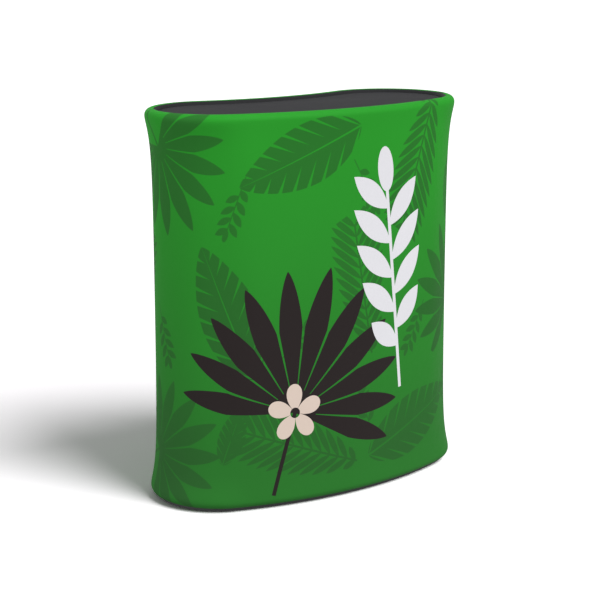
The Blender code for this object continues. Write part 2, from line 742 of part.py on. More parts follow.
def panel(stations, name, finish, columns, rows, lift, thickness, holes=()):
    """A piece of cloth lying on the sleeve, lifted off it."""
    grids = [
        [[sleeve_point(stations.at(c), z, lift + extra) for z in rows] for c in columns]
        for extra in (thickness, 0.0)
    ]
    sheet_solid(name, finish, grids[0], grids[1], False, holes)


def build_flap(stations):
    """The fabric flap over the doorway, its hinge tape, its hook-and-loop tapes and its pull tab."""
    low = BOTTOM_HOOP_Z + DOORWAY_ROW - FLAP_OVERLAP
    high = TOP_HOOP_Z - DOORWAY_ROW + FLAP_OVERLAP
    columns = panel_columns(stations, FLAP_HALF_WIDTH, -FLAP_HALF_WIDTH)
    rows = panel_rows(low, high)
    panel(stations, "access_flap", "printed_fabric", columns, rows, FLAP_LIFT, FABRIC)

    edge = FLAP_HALF_WIDTH - TAPE_MARGIN
    inside = DOORWAY_HALF_WIDTH + TAPE_MARGIN
    tape_low, tape_high = low + TAPE_MARGIN, high - TAPE_MARGIN
    door_low = BOTTOM_HOOP_Z + DOORWAY_ROW - TAPE_MARGIN
    door_high = TOP_HOOP_Z - DOORWAY_ROW + TAPE_MARGIN
    hinge_columns = panel_columns(stations, -inside, -edge)
    hinge_rows = panel_rows(tape_low, tape_high)
    hinge_thickness = FLAP_LIFT - 2 * SEAT_GAP
    panel(stations, "flap_hinge_tape", "black_webbing", hinge_columns, hinge_rows, SEAT_GAP, hinge_thickness)

    across = sorted({*panel_columns(stations, edge, -DOORWAY_HALF_WIDTH), *panel_columns(stations, edge, inside)})
    heights = sorted({*panel_rows(tape_low, tape_high), door_low, door_high})
    first_open = across.index(panel_columns(stations, inside, inside)[0])
    holes = [
        (c, r)
        for c in range(first_open, len(across) - 1)
        for r in range(heights.index(door_low), heights.index(door_high))
    ]
    panel(stations, "hook_tape", "black_webbing", across, heights, SEAT_GAP, TAPE, holes)
    loop_lift = SEAT_GAP + TAPE + SEAT_GAP
    panel(stations, "loop_tape", "black_webbing", across, heights, loop_lift, TAPE, holes)

    sewn_edge = stations.back - DOORWAY_STEPS // 2 - 1
    beyond = np.linalg.norm(stations.points[sewn_edge] - stations.points[sewn_edge - 1])
    tab_columns = [sewn_edge - PULL_TAB_REACH / beyond, sewn_edge, sewn_edge + PULL_TAB_SEWN / FLAP_OVERLAP]
    tab_rows = [PULL_TAB_HEIGHT - PULL_TAB_WIDTH / 2, PULL_TAB_HEIGHT + PULL_TAB_WIDTH / 2]
    tab_lift = FLAP_LIFT + FABRIC + SEAT_GAP
    panel(
        stations, "flap_pull_tab", "black_webbing", tab_columns, tab_rows, tab_lift, PULL_TAB_THICKNESS,
    )


def clear_scene():
    for obj in list(bpy.data.objects):
        bpy.data.objects.remove(obj, do_unlink=True)


def main():
    clear_scene()
    stations = Stations()
    all_posts = posts()
    half_turn = math.degrees(math.pi)
    build_base(stations)
    build_hoop(stations, "top", TOP_HOOP_Z, half_turn + BUTTON_TURN)
    build_hoop(stations, "bottom", BOTTOM_HOOP_Z, half_turn - BUTTON_TURN)
    head_saddle = hoop_cutter("head_saddle_cutter", stations, TOP_HOOP_Z)
    foot_saddle = hoop_cutter("foot_saddle_cutter", stations, BOTTOM_HOOP_Z)
    for post in all_posts:
        build_post(post)
        build_socket(post, head_saddle, "head")
        build_socket(post, foot_saddle, "foot")
    build_shelf(stations, all_posts)
    build_tabletop(stations, all_posts)
    build_sleeve(stations)
    build_hem(stations, "rim_hem", TOP_HOOP_Z, 1)
    build_hem(stations, "foot_hem", BOTTOM_HOOP_Z, -1)
    build_flap(stations)


main()
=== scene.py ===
import math
from functools import partialmethod

import bmesh
import bpy
import numpy as np
from mathutils import Matrix, Vector


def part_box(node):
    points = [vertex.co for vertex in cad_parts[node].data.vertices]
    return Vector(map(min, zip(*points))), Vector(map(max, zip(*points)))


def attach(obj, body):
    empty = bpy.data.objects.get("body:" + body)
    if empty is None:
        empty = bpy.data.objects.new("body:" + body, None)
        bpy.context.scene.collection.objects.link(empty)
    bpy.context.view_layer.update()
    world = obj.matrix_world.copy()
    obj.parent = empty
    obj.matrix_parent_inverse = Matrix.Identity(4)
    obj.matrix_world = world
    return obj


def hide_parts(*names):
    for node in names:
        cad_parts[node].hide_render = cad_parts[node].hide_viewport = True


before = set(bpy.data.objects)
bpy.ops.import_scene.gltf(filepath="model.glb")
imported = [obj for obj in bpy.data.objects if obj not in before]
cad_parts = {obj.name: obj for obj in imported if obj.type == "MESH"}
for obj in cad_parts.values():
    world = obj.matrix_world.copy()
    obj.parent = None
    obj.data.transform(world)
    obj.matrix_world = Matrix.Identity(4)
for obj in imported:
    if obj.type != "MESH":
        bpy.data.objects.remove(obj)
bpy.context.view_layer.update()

# Sizes are in metres. The kidney outline at the fabric's widest line: four arcs that meet in tangents
LOBE_CENTRE_X = 0.271
LOBE_RADIUS = 0.180
FRONT_RADIUS = 0.990
HOLLOW_RADIUS = 0.720
FRONT_CENTRE_Y = math.sqrt((FRONT_RADIUS - LOBE_RADIUS) ** 2 - LOBE_CENTRE_X**2)
HOLLOW_CENTRE_Y = math.sqrt((HOLLOW_RADIUS + LOBE_RADIUS) ** 2 - LOBE_CENTRE_X**2)
MIDDLE_Y = (FRONT_CENTRE_Y - FRONT_RADIUS + LOBE_RADIUS) / 2
OUTLINE_STEP = 0.0052

# Tube, fabric and fits
TUBE_RADIUS = 0.016
TUBE_WALL = 0.0015
FABRIC = 0.0008
SKIN_GAP = 0.0003
WRAP = TUBE_RADIUS + SKIN_GAP + FABRIC
TOP_HOOP_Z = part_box("fabric_sleeve")[1].z - WRAP
FOOT_HOOP_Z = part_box("fabric_sleeve")[0].z + WRAP

# How far the sleeve is drawn in between the hoops, and how it leaves them
DRAW_IN = 0.018
DRAW_REACH = 0.070
NEAR_FLARE = 0.052
FAR_FLARE = 0.160
NEAR_SHARE = 0.8
LEAVING_ROUND = 0.012
PRINT_END = math.radians(111.0)
HEM_END = math.radians(177.0)

# Doorway in the hollow back, and what closes it
DOOR_HALF = 0.150
FLAP_HALF = 0.170
DOOR_FROM_HOOP = 0.105
DOOR_LOW = FOOT_HOOP_Z + DOOR_FROM_HOOP
DOOR_HIGH = TOP_HOOP_Z - DOOR_FROM_HOOP
FLAP_LOW, FLAP_HIGH = (corner.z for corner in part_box("access_flap"))
TAPE_MARGIN = 0.003
TAPE = 0.0007
FLAP_LIFT = 3 * SKIN_GAP + 2 * TAPE
HEM_WIDTH = 0.010
HEM_RISE = 0.0004
HEM_FOLD = 0.0012
RIPPLE = 0.0009
TAB_LIFT = FLAP_LIFT + FABRIC + HEM_RISE + SKIN_GAP
TAB_THICKNESS = 0.0016
TAB_REACH = 0.035

# Sewing: a stitch's pitch, length and thickness, and how far the rows are from what they follow
STITCH = (0.0042, 0.0031, 0.0004)
FINE_STITCH = (0.0042, 0.0031, 0.0003)
TAB_STITCH = (0.0030, 0.0022, 0.0003)
ROW_STEP = 0.002
FLAP_ROW = 0.006
HINGE_ROW = 0.010
TAPE_ROW = 0.002
TAB_ROW = 0.003
TAB_SEWN = 0.017
SEAM_ROW = 0.003
SEAM_END = 0.025
HEM_ROW_TURN = 0.12

# Edging, posts and their fittings
EDGING_WIDTH = 0.0020
POST_RADIUS = 0.014
POST_EDGE = 0.0004
POST_INSET = 0.0545
COLLAR_RADIUS = 0.019
EAR_REACH = 0.028
EAR_INSET = 0.004
EAR_TOP = 0.004
SADDLE_TOP = 0.022
REST_BORE = 0.0143
REST_RADIUS = 0.0220
REST_EDGE = 0.0008
NOTCH_RADIUS = 0.0155
NOTCH_REACH = 0.060
HEAD_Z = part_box("post_front_left")[1].z
SOCKET_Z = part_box("foot_socket_front_left")[0].z

# Sprung buttons, screws and rivets. POLE is the radius at which a turned piece closes
BUTTON_PROUD = 0.0015
BUTTON_DOME = 0.0014
BUTTON_FROM_END = 0.034
HOLE_START = 0.004
HOOP_HOLE_END = 0.020
POST_HOLE_END = 0.030
HOOP_PIN = 0.0035
HOOP_LEAF_AT = 0.00973
POST_PIN = 0.0040
POST_LEAF_AT = 0.01026
LEAF_LENGTH = 0.026
LEAF_WIDTH = 0.007
LEAF_THICKNESS = 0.0008
LEAF_CORNER = 0.0025
LEAF_OVERHANG = 0.004
SOCKET_SCREW = (0.0036, 0.0022)
REST_SCREW = (0.0032, 0.0018)
RIVET_RADIUS = 0.0030
RIVET_FROM_JOINT = 0.026
POLE = 0.0002

UP, DOWN = (0, 0, 1), (0, 0, -1)

# Camera, in the photograph's 600 pixel frame, from the middle of the lobes' centres
PHOTO_PX = 600
CAMERA_AZIMUTH = math.radians(-36.51)
CAMERA_YAW = math.radians(0.155)
CAMERA_PITCH = math.radians(12.43)
CAMERA_DISTANCE = 4.495
CAMERA_HEIGHT = 1.466
CAMERA_FOCAL_PX = 1747.8
SENSOR_MM = 36.0

# The floor's colour to the camera, its display grey for the light that it throws back, and its half width
FLOOR_SEEN = (1.41, 1.37, 1.41, 1)
FLOOR_GREY = 205
FLOOR_HALF = 60.0
WORLD_LEVEL = 0.235
# Each light: its level, then its width, azimuth and elevation in degrees, then whether it lights the
# floor and whether it shows in gloss
LIGHTS = {
    "front_light": (0.905, 34.8, -74.1, 47.0, True, True),
    "side_light": (0.41, 60.0, 166.6, 25.0, False, True),
    "back_light": (0.36, 60.0, 62.0, 20.0, False, False),
}


# Shapes

def smooth_step(x):
    """0 below 0, 1 above 1, and 3x^2 - 2x^3 between."""
    x = np.clip(x, 0, 1)
    return x * x * (3 - 2 * x)


def lengths_along(points):
    """Distances along a path of points, from 0."""
    return np.concatenate(([0.0], np.cumsum(np.linalg.norm(np.diff(points, axis=0), axis=1))))


def between(at, known, table):
    """The rows of a table at places between its known ones, along straight lines."""
    return np.column_stack([np.interp(at, known, column) for column in table.T])


def set_in(points, normals, inset, z):
    """A grid: outline points (columns) moved in along their normals by inset, at heights z (rows)."""
    flat = points[None] - normals[None] * inset[..., None]
    return np.dstack((flat, np.broadcast_to(np.asarray(z)[:, None], flat.shape[:2])))


class Outline:
    """Stations round the kidney, counterclockwise from the middle of the hollow back.

    Each arc is centre + radius (cos a, sin a) at even steps of a. The hollow is seen from outside its
    circle, so its outward normal points to its centre. u is the arc length from the front's middle.
    """

    def __init__(self):
        turn_in = math.atan2(LOBE_CENTRE_X, FRONT_CENTRE_Y)
        turn_out = math.atan2(LOBE_CENTRE_X, HOLLOW_CENTRE_Y)
        door, down = math.asin(DOOR_HALF / HOLLOW_RADIUS), -math.pi / 2
        hollow = (0, HOLLOW_CENTRE_Y, HOLLOW_RADIUS, -1)
        front = (0, FRONT_CENTRE_Y, FRONT_RADIUS, 1)
        left = (-LOBE_CENTRE_X, 0, LOBE_RADIUS, 1)
        right = (LOBE_CENTRE_X, 0, LOBE_RADIUS, 1)
        spans = [
            (hollow, down, down - door),
            (hollow, down - door, down - turn_out),
            (left, -down - turn_out, -3 * down - turn_in),
            (front, down - turn_in, down),
            (front, down, down + turn_in),
            (right, down + turn_in, -down + turn_out),
            (hollow, down + turn_out, down + door),
            (hollow, down + door, down),
        ]
        points, normals, bends, starts = [], [], [], [0]
        for (cx, cy, radius, outward), a0, a1 in spans:
            count = max(2, round(abs(a1 - a0) * radius / OUTLINE_STEP))
            a = np.linspace(a0, a1, count, endpoint=False)
            across = np.stack((np.cos(a), np.sin(a)), 1)
            points.append(np.array((cx, cy - MIDDLE_Y)) + radius * across)
            normals.append(outward * across)
            bends.append(np.full(count, outward / radius))
            starts.append(starts[-1] + count)
        self.p, self.n = np.concatenate(points), np.concatenate(normals)
        self.count = len(self.p)
        self.door_end, self.front, self.door_start = starts[1], starts[4], starts[7]
        steps = np.linalg.norm(np.roll(self.p, -1, 0) - self.p, axis=1)
        along = np.concatenate(([0.0], np.cumsum(steps)))
        self.length = along[-1]
        self.u = along - self.length / 2
        apart = np.abs(along[:-1, None] - along[None, :-1])
        apart = np.minimum(apart, self.length - apart)
        weight = np.cos(np.clip(apart / DRAW_REACH, 0, 1) * math.pi / 2) ** 2
        weight = weight * (steps + np.roll(steps, 1))[None, :]
        self.draw = weight @ np.concatenate(bends) / weight.sum(1) * DRAW_IN * LOBE_RADIUS
        self.half_width = self.p[:, 0].max()

    def at(self, u):
        """Points, outward normals and draw-ins at distances u round the outline."""
        table = np.column_stack((self.p, self.n, self.draw))
        known = np.concatenate((self.u[:-1] - self.length, self.u[:-1], self.u + self.length))
        table = np.concatenate((table, table, table, table[:1]))
        found = between(u, known, table)
        return found[:, :2], found[:, 2:4], found[:, 4]

    def back(self, x):
        """u of the place in the hollow back at x."""
        return -self.length / 2 - HOLLOW_RADIUS * math.asin(x / HOLLOW_RADIUS)

    def inset(self, depth, z):
        """Closed rings of points, one for each pair of a depth inside the outline and a height."""
        return set_in(self.p, self.n, np.asarray(depth)[:, None], z)


OUTLINE = Outline()

SEAM = -OUTLINE.length / 2
FLAP_SIDES = OUTLINE.back(FLAP_HALF), OUTLINE.back(-FLAP_HALF)

# Edges of the tapes round the doorway: the outer and inner heights, and distances round the outline
TAPE_LOW, TAPE_HIGH = FLAP_LOW + TAPE_MARGIN, FLAP_HIGH - TAPE_MARGIN
OPEN_LOW, OPEN_HIGH = DOOR_LOW - TAPE_MARGIN, DOOR_HIGH + TAPE_MARGIN
TAPE_FAR, TAPE_NEAR = OUTLINE.back(FLAP_HALF - TAPE_MARGIN), OUTLINE.back(DOOR_HALF + TAPE_MARGIN)
TAPE_END = OUTLINE.back(-DOOR_HALF)
HINGE_SIDES = OUTLINE.back(-DOOR_HALF - TAPE_MARGIN), OUTLINE.back(TAPE_MARGIN - FLAP_HALF)


def flare(distance):
    """What is left of the flare at a distance from a hoop: two fading terms, with no slope at the hoop."""
    d = np.sqrt(distance**2 + LEAVING_ROUND**2) - LEAVING_ROUND
    return NEAR_SHARE * np.exp(-d / NEAR_FLARE) + (1 - NEAR_SHARE) * np.exp(-d / FAR_FLARE)


def drawn_share(z):
    """Share of the full draw-in at height z: one, less what is left of both hoops' flares."""
    return np.clip(1 - flare(np.abs(z - FOOT_HOOP_Z)) - flare(np.abs(TOP_HOOP_Z - z)), 0, 1)


def wall(u, z, lift):
    """Points of the sleeve's wall at heights z (rows) and distances u (columns), lifted off it."""
    p, n, draw = OUTLINE.at(u)
    return set_in(p, n, draw[None, :] * drawn_share(z)[:, None] - lift, z)


def curl(u, hoop_z, turns, radius):
    """Points round a hoop's tube at angles turns (rows): 0 faces out, a quarter turn up, a half in."""
    p, n, _ = OUTLINE.at(u)
    return set_in(p, n, (WRAP - radius * np.cos(turns))[:, None], hoop_z + radius * np.sin(turns))


def shaded(mesh, sharp_deg):
    """Smooth shading, with sharp edges past an angle."""
    mesh.shade_smooth()
    mesh.set_sharp_from_angle(angle=math.radians(sharp_deg))


def covered(mesh, *materials):
    """Gives a mesh its materials, in place of those it has."""
    mesh.materials.clear()
    for material in materials:
        mesh.materials.append(material)


def added(name, data):
    """A new object in the scene."""
    obj = bpy.data.objects.new(name, data)
    bpy.context.scene.collection.objects.link(obj)
    return obj


def new_object(name, verts, faces, materials, uv=None, slots=None, sharp_deg=40.0):
    """A mesh from vertices and faces. A piece of cloth also has uv, a pair for each corner, and slots, a
    material's index for each face."""
    mesh = bpy.data.meshes.new(name)
    mesh.from_pydata(np.asarray(verts).reshape(-1, 3), [], faces)
    covered(mesh, *materials)
    if uv is not None:
        mesh.polygons.foreach_set("material_index", np.asarray(slots, np.int32))
        layer = mesh.uv_layers.new(name="cloth")
        layer.data.foreach_set("uv", np.asarray(uv, np.float32).ravel())
    shaded(mesh, sharp_deg)
    return added(name, mesh)


def facing_out(obj):
    """Drops loose and doubled points and turns all faces outwards."""
    bm = bmesh.new()
    bm.from_mesh(obj.data)
    bmesh.ops.remove_doubles(bm, verts=bm.verts, dist=1e-7)
    bmesh.ops.delete(bm, geom=[v for v in bm.verts if not v.link_faces], context="VERTS")
    bmesh.ops.recalc_face_normals(bm, faces=bm.faces)
    bm.to_mesh(obj.data)
    bm.free()
    return obj


def solid_sheet(name, outer, inner, materials, u, v, closed=False, holes=None):
    """A closed solid between two grids of points, rows by columns. closed joins the last column to the
    first. holes marks cells left out, whose edges are walled. The inner side takes the last material."""
    rows, cols = outer.shape[:2]
    spans = cols if closed else cols - 1
    kept = np.ones((rows - 1, spans), bool) if holes is None else ~holes
    i, j = np.nonzero(kept)
    k = (j + 1) % cols
    size = rows * cols
    out = np.stack((i * cols + j, i * cols + k, (i + 1) * cols + k, (i + 1) * cols + j), 1)
    turn = -np.round((u[j] + u[j + 1]) / 2 / OUTLINE.length) * OUTLINE.length
    near, far = u[j] + turn, u[j + 1] + turn
    corners = (near, v[i]), (far, v[i]), (far, v[i + 1]), (near, v[i + 1])
    uv_out = np.stack([np.stack(c, 1) for c in corners], 1)
    quads, uvs = [out, out[:, ::-1] + size], [uv_out, uv_out[:, ::-1]]
    slots = [np.zeros(len(out)), np.full(len(out), len(materials) - 1)]
    beside = np.zeros((rows + 1, spans + 2), bool)
    beside[1:-1, 1:-1] = kept
    if closed:
        beside[1:-1, 0], beside[1:-1, -1] = kept[:, -1], kept[:, 0]
    for di, dj, a, b in ((-1, 0, 0, 1), (0, 1, 1, 2), (1, 0, 2, 3), (0, -1, 3, 0)):
        free = ~beside[i + 1 + di, j + 1 + dj]
        edge, side_uv = out[free], uv_out[free]
        quads.append(np.stack((edge[:, b], edge[:, a], edge[:, a] + size, edge[:, b] + size), 1))
        uvs.append(side_uv[:, (b, a, a, b)])
        slots.append(np.zeros(free.sum()))
    quads = np.concatenate(quads)
    used, quads = np.unique(quads, return_inverse=True)
    verts = np.concatenate((outer.reshape(-1, 3), inner.reshape(-1, 3)))[used]
    quads = quads.reshape(-1, 4).tolist()
    return new_object(name, verts, quads, materials, np.concatenate(uvs), np.concatenate(slots))


def rings_solid(name, rings, material, loop=False, sharp_deg=40.0):
    """A solid skinned over rings of points, rows by points round. loop joins the last ring to the first,
    and otherwise the first and last rings are filled."""
    rows, count = rings.shape[:2]
    k = np.arange(count)
    faces = []
    for i in range(rows if loop else rows - 1):
        a, b = i * count, (i + 1) % rows * count
        faces += np.stack((a + k, a + (k + 1) % count, b + (k + 1) % count, b + k), 1).tolist()
    if not loop:
        faces += [k[::-1].tolist(), (k + (rows - 1) * count).tolist()]
    return facing_out(new_object(name, rings, faces, [material], sharp_deg=sharp_deg))


def axes(direction):
    """A unit direction and two unit vectors square to it."""
    d = np.asarray(direction, float) / np.linalg.norm(direction)
    side = np.cross(d, (0, 0, 1.0) if abs(d[2]) < 0.9 else (0, 1.0, 0))
    side = side / np.linalg.norm(side)
    return d, side, np.cross(side, d)


def lathe(name, profile, origin, direction, material, sides=48, loop=False, hexagon=()):
    """A solid turned about direction from (radius, height) points. Rows in hexagon are six-sided."""
    d, a, b = axes(direction)
    turn = np.linspace(0, 2 * math.pi, sides, endpoint=False)
    ring = np.cos(turn)[:, None] * a + np.sin(turn)[:, None] * b
    radius, height = np.array(profile).T
    radius = np.repeat(radius[:, None], sides, 1)
    radius[list(hexagon)] *= math.cos(math.pi / 6) / np.cos(turn % (math.pi / 3) - math.pi / 6)
    rings = np.asarray(origin, float) + radius[..., None] * ring[None] + height[:, None, None] * d
    return rings_solid(name, rings, material, loop, 30.0)


def block(name, size, matrix, material, corner):
    """A plate centred on its own origin, its four upright corners rounded by arcs of radius corner."""
    half = np.array(size) / 2
    flat = []
    for quarter, signs in enumerate(((1, 1), (-1, 1), (-1, -1), (1, -1))):
        turn = np.linspace(0, math.pi / 2, 5) + quarter * math.pi / 2
        flat.append((half[:2] - corner) * signs + corner * np.column_stack((np.cos(turn), np.sin(turn))))
    flat = np.concatenate(flat)
    rings = np.stack([np.column_stack((flat, np.full(len(flat), z))) for z in (-half[2], half[2])])
    turned = rings.reshape(-1, 3) @ np.array(matrix.to_3x3()).T + np.array(matrix.translation)
    return rings_solid(name, turned.reshape(rings.shape), material)


def joined(name, objects):
    """One object from several, keeping their materials."""
    with bpy.context.temp_override(active_object=objects[0], selected_editable_objects=objects):
        bpy.ops.object.join()
    objects[0].name = objects[0].data.name = name
    return objects[0]


def bored(obj, cutters):
    """obj with the cutters taken out of it, as a plain mesh."""
    for cutter in cutters:
        step = obj.modifiers.new(cutter.name, "BOOLEAN")
        step.operation, step.solver, step.object = "DIFFERENCE", "EXACT", cutter
    graph = bpy.context.evaluated_depsgraph_get()
    mesh = bpy.data.meshes.new_from_object(obj.evaluated_get(graph))
    obj.modifiers.clear()
    obj.data = mesh
    shaded(mesh, 30.0)
    for cutter in cutters:
        bpy.data.objects.remove(cutter)
    return obj


def softened(node, name, material, width):
    """A copy of a CAD node with its corners rounded by width."""
    obj = added(name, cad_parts[node].data.copy())
    covered(obj.data, material)
    bm = bmesh.new()
    bm.from_mesh(obj.data)
    bmesh.ops.remove_doubles(bm, verts=bm.verts, dist=1e-6)
    bmesh.ops.dissolve_limit(bm, angle_limit=math.radians(1.0), verts=bm.verts, edges=bm.edges)
    bm.to_mesh(obj.data)
    bm.free()
    shaded(obj.data, 30.0)
    bevel = obj.modifiers.new("rounded corners", "BEVEL")
    bevel.width, bevel.segments, bevel.limit_method = width, 2, "ANGLE"
    bevel.angle_limit = math.radians(30.0)
    bevel.harden_normals = True
    return obj


def fitted(obj, node, body):
    """Puts a finished piece in a CAD node's place, if it has one, and sets its body."""
    if node:
        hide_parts(node)
    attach(obj, body)
    return obj


def plate(name, inset, low, high, edge, material):
    """A flat board that follows the outline, its edges rounded by quarter circles."""
    turn = np.linspace(0, math.pi / 2, 5)
    depth = np.concatenate((edge - edge * np.sin(turn), edge - edge * np.cos(turn)))
    height = np.concatenate((low + edge - edge * np.cos(turn), high - edge + edge * np.sin(turn)))
    return rings_solid(name, OUTLINE.inset(inset + depth, height), material)


def wall_path(corners, lift):
    """Points and outward directions along straight runs between (u, z) corners on the sleeve's wall."""
    corners = np.asarray(corners, float)
    along = lengths_along(corners)
    at = np.linspace(0, along[-1], max(2, int(along[-1] / ROW_STEP)))
    u, z = between(at, along, corners).T
    p, n, draw = OUTLINE.at(u)
    flat = p - n * (draw * drawn_share(z) - lift)[:, None]
    return np.column_stack((flat, z)), np.column_stack((n, 0 * z))


def stitch_form(thick):
    """A stitch's points, its length from -1 to 1 first, and its faces: a lens between two poles, with
    three six-sided rings of radius thick (1 - t^4)^(1/2), t along it."""
    t = np.array((-0.85, 0.0, 0.85))
    radii = thick * np.sqrt(1 - t**4)
    turns = np.linspace(0, 2 * math.pi, 6, endpoint=False)
    rings = [(a, r * math.cos(c), r * math.sin(c)) for a, r in zip(t, radii) for c in turns]

    def corner(ring, side):
        return 1 + ring * 6 + side % 6

    faces = [(0, corner(0, k + 1), corner(0, k)) for k in range(6)]
    for i in (0, 1):
        faces += [(corner(i, k), corner(i, k + 1), corner(i + 1, k + 1), corner(i + 1, k)) for k in range(6)]
    faces += [(corner(2, k), corner(2, k + 1), 19) for k in range(6)]
    return np.array([(-1.0, 0.0, 0.0), *rings, (1.0, 0.0, 0.0)]), faces


def stitching(name, rows, material, body, pitch, length, thick):
    """Rows of sewn stitches: one form laid along each row, its middle at every pitch."""
    form, form_faces = stitch_form(thick)
    verts = []
    for points, normals in rows:
        along = lengths_along(points)
        at = np.arange(pitch / 2, along[-1], pitch)
        ahead = between(at + length / 2, along, points) - between(at - length / 2, along, points)
        ahead = ahead / np.linalg.norm(ahead, axis=1)[:, None]
        n = between(at, along, normals)
        n = n / np.linalg.norm(n, axis=1)[:, None]
        side = np.cross(n, ahead)
        place = between(at, along, points)[:, None] + form[None, :, :1] * ahead[:, None] * length / 2
        verts.append(place + form[None, :, 1:2] * side[:, None] + form[None, :, 2:] * n[:, None])
    verts = np.concatenate(verts)
    faces = [[corner + len(form) * s for corner in face] for s in range(len(verts)) for face in form_faces]
    fitted(new_object(name, verts, faces, [material]), None, body)


# Finishes

def display(r, g, b):
    """A display colour, 0 to 255, as linear values."""
    c = np.array((r, g, b)) / 255
    linear = np.where(c <= 0.04045, c / 12.92, ((c + 0.055) / 1.055) ** 2.4)
    return (*linear.tolist(), 1.0)


def cool_grey(level):
    """A display grey with a trace of blue."""
    return display(level, level, level + 2)


class Field:
    """A number worked out by shader nodes, written with ordinary signs. least and most stand for at least
    and at most, and part and whole for the two sides of the decimal point."""

    tree = None

    def __init__(self, socket):
        self.socket = socket

    @classmethod
    def math(cls, operation, *values):
        node = cls.tree.nodes.new("ShaderNodeMath")
        node.operation = operation
        for slot, value in zip(node.inputs, values):
            if isinstance(value, Field):
                cls.tree.links.new(value.socket, slot)
            else:
                slot.default_value = value
        return cls(node.outputs[0])

    def then(self, operation, *others):
        return self.math(operation, self, *others)

    def __rsub__(self, other):
        return self.math("SUBTRACT", other, self)

    __add__ = partialmethod(then, "ADD")
    __sub__ = partialmethod(then, "SUBTRACT")
    __mul__ = __rmul__ = partialmethod(then, "MULTIPLY")
    __truediv__ = partialmethod(then, "DIVIDE")
    __pow__ = partialmethod(then, "POWER")
    below = partialmethod(then, "LESS_THAN")
    above = partialmethod(then, "GREATER_THAN")
    size = partialmethod(then, "ABSOLUTE")
    part = partialmethod(then, "FRACT")
    whole = partialmethod(then, "FLOOR")
    least = partialmethod(then, "MAXIMUM")
    most = partialmethod(then, "MINIMUM")


class Finish:
    """A material under construction: its nodes, its shader and shortcuts between them."""

    def __init__(self, name, colour, roughness, metallic=0.0, **sockets):
        self.material = bpy.data.materials.new(name)
        self.material.use_nodes = True
        self.tree = self.material.node_tree
        self.shader = self.tree.nodes["Principled BSDF"]
        self.shader.inputs["Base Color"].default_value = colour
        self.shader.inputs["Roughness"].default_value = roughness
        self.shader.inputs["Metallic"].default_value = metallic
        for socket, value in sockets.items():
            self.shader.inputs[socket.replace("_", " ")].default_value = value
        Field.tree = self.tree

    def node(self, kind, links=None, **values):
        made = self.tree.nodes.new(kind)
        for key, value in values.items():
            setattr(made, key, value)
        for key, value in (links or {}).items():
            slot = made.inputs[key]
            value = value.socket if isinstance(value, Field) else value
            if isinstance(value, bpy.types.NodeSocket):
                self.tree.links.new(value, slot)
            else:
                slot.default_value = value
        return made

    def place(self):
        return self.node("ShaderNodeTexCoord").outputs["Object"]

    def cloth(self):
        return self.node("ShaderNodeUVMap", uv_map="cloth").outputs["UV"]

    def stretched(self, vector, scale, turn=0.0):
        links = {"Vector": vector, "Scale": scale, "Rotation": (0, 0, turn)}
        return self.node("ShaderNodeMapping", links).outputs[0]

    def noise(self, vector, scale, detail=3.0, roughness=0.5):
        links = {"Vector": vector, "Scale": scale, "Detail": detail, "Roughness": roughness}
        return Field(self.node("ShaderNodeTexNoise", links).outputs[0])

    def ribs(self, vector, pitch, direction="X"):
        """Rounded ribs of one pitch, as height from 0 to 1. The node's own bands are pi / 10 apart."""
        links = {"Vector": vector, "Scale": math.pi / 10 / pitch}
        return Field(self.node("ShaderNodeTexWave", links, bands_direction=direction).outputs["Fac"])

    def range(self, field, low, high, to_low, to_high):
        links = {"Value": field, "From Min": low, "From Max": high, "To Min": to_low, "To Max": to_high}
        return Field(self.node("ShaderNodeMapRange", links).outputs[0])

    def mix(self, factor, a, b, blend="MIX"):
        links = {0: factor, 6: a, 7: b}
        return self.node("ShaderNodeMix", links, data_type="RGBA", blend_type=blend).outputs[2]

    def colour(self, socket):
        self.tree.links.new(socket, self.shader.inputs["Base Color"])

    def roughness(self, noise, low, high):
        """Roughness from low to high over the middle of a noise."""
        field = self.range(noise, 0.3, 0.7, low, high)
        self.tree.links.new(field.socket, self.shader.inputs["Roughness"])

    def bump(self, height, distance, strength):
        """Raises the surface by a height, and gives the finished material."""
        links = {"Height": height, "Distance": distance, "Strength": strength}
        self.tree.links.new(self.node("ShaderNodeBump", links).outputs[0], self.shader.inputs["Normal"])
        return self.material

    def painted_shade_relief(self, height, low, high, distance, strength):
        """Colours the surface from low to high by its height, which paints shade into its hollows, and
        raises it.
        """
        # Painted shade: the low colour lies in the hollows and the high one on the tops.
        self.colour(self.mix(height, low, high))
        return self.bump(height, distance, strength)


# The print. Places and sizes are metres on the flattened sleeve: u from the front's middle, v up
GREEN = display(42, 152, 42)
LOW_GREEN = display(44, 118, 44)
LEAF_SHADE = (0.98, 0.55, 0.98, 1.0)
PALE = display(230, 229, 234)
CREAM = display(224, 205, 192)
CHARCOAL = display(44, 38, 38)

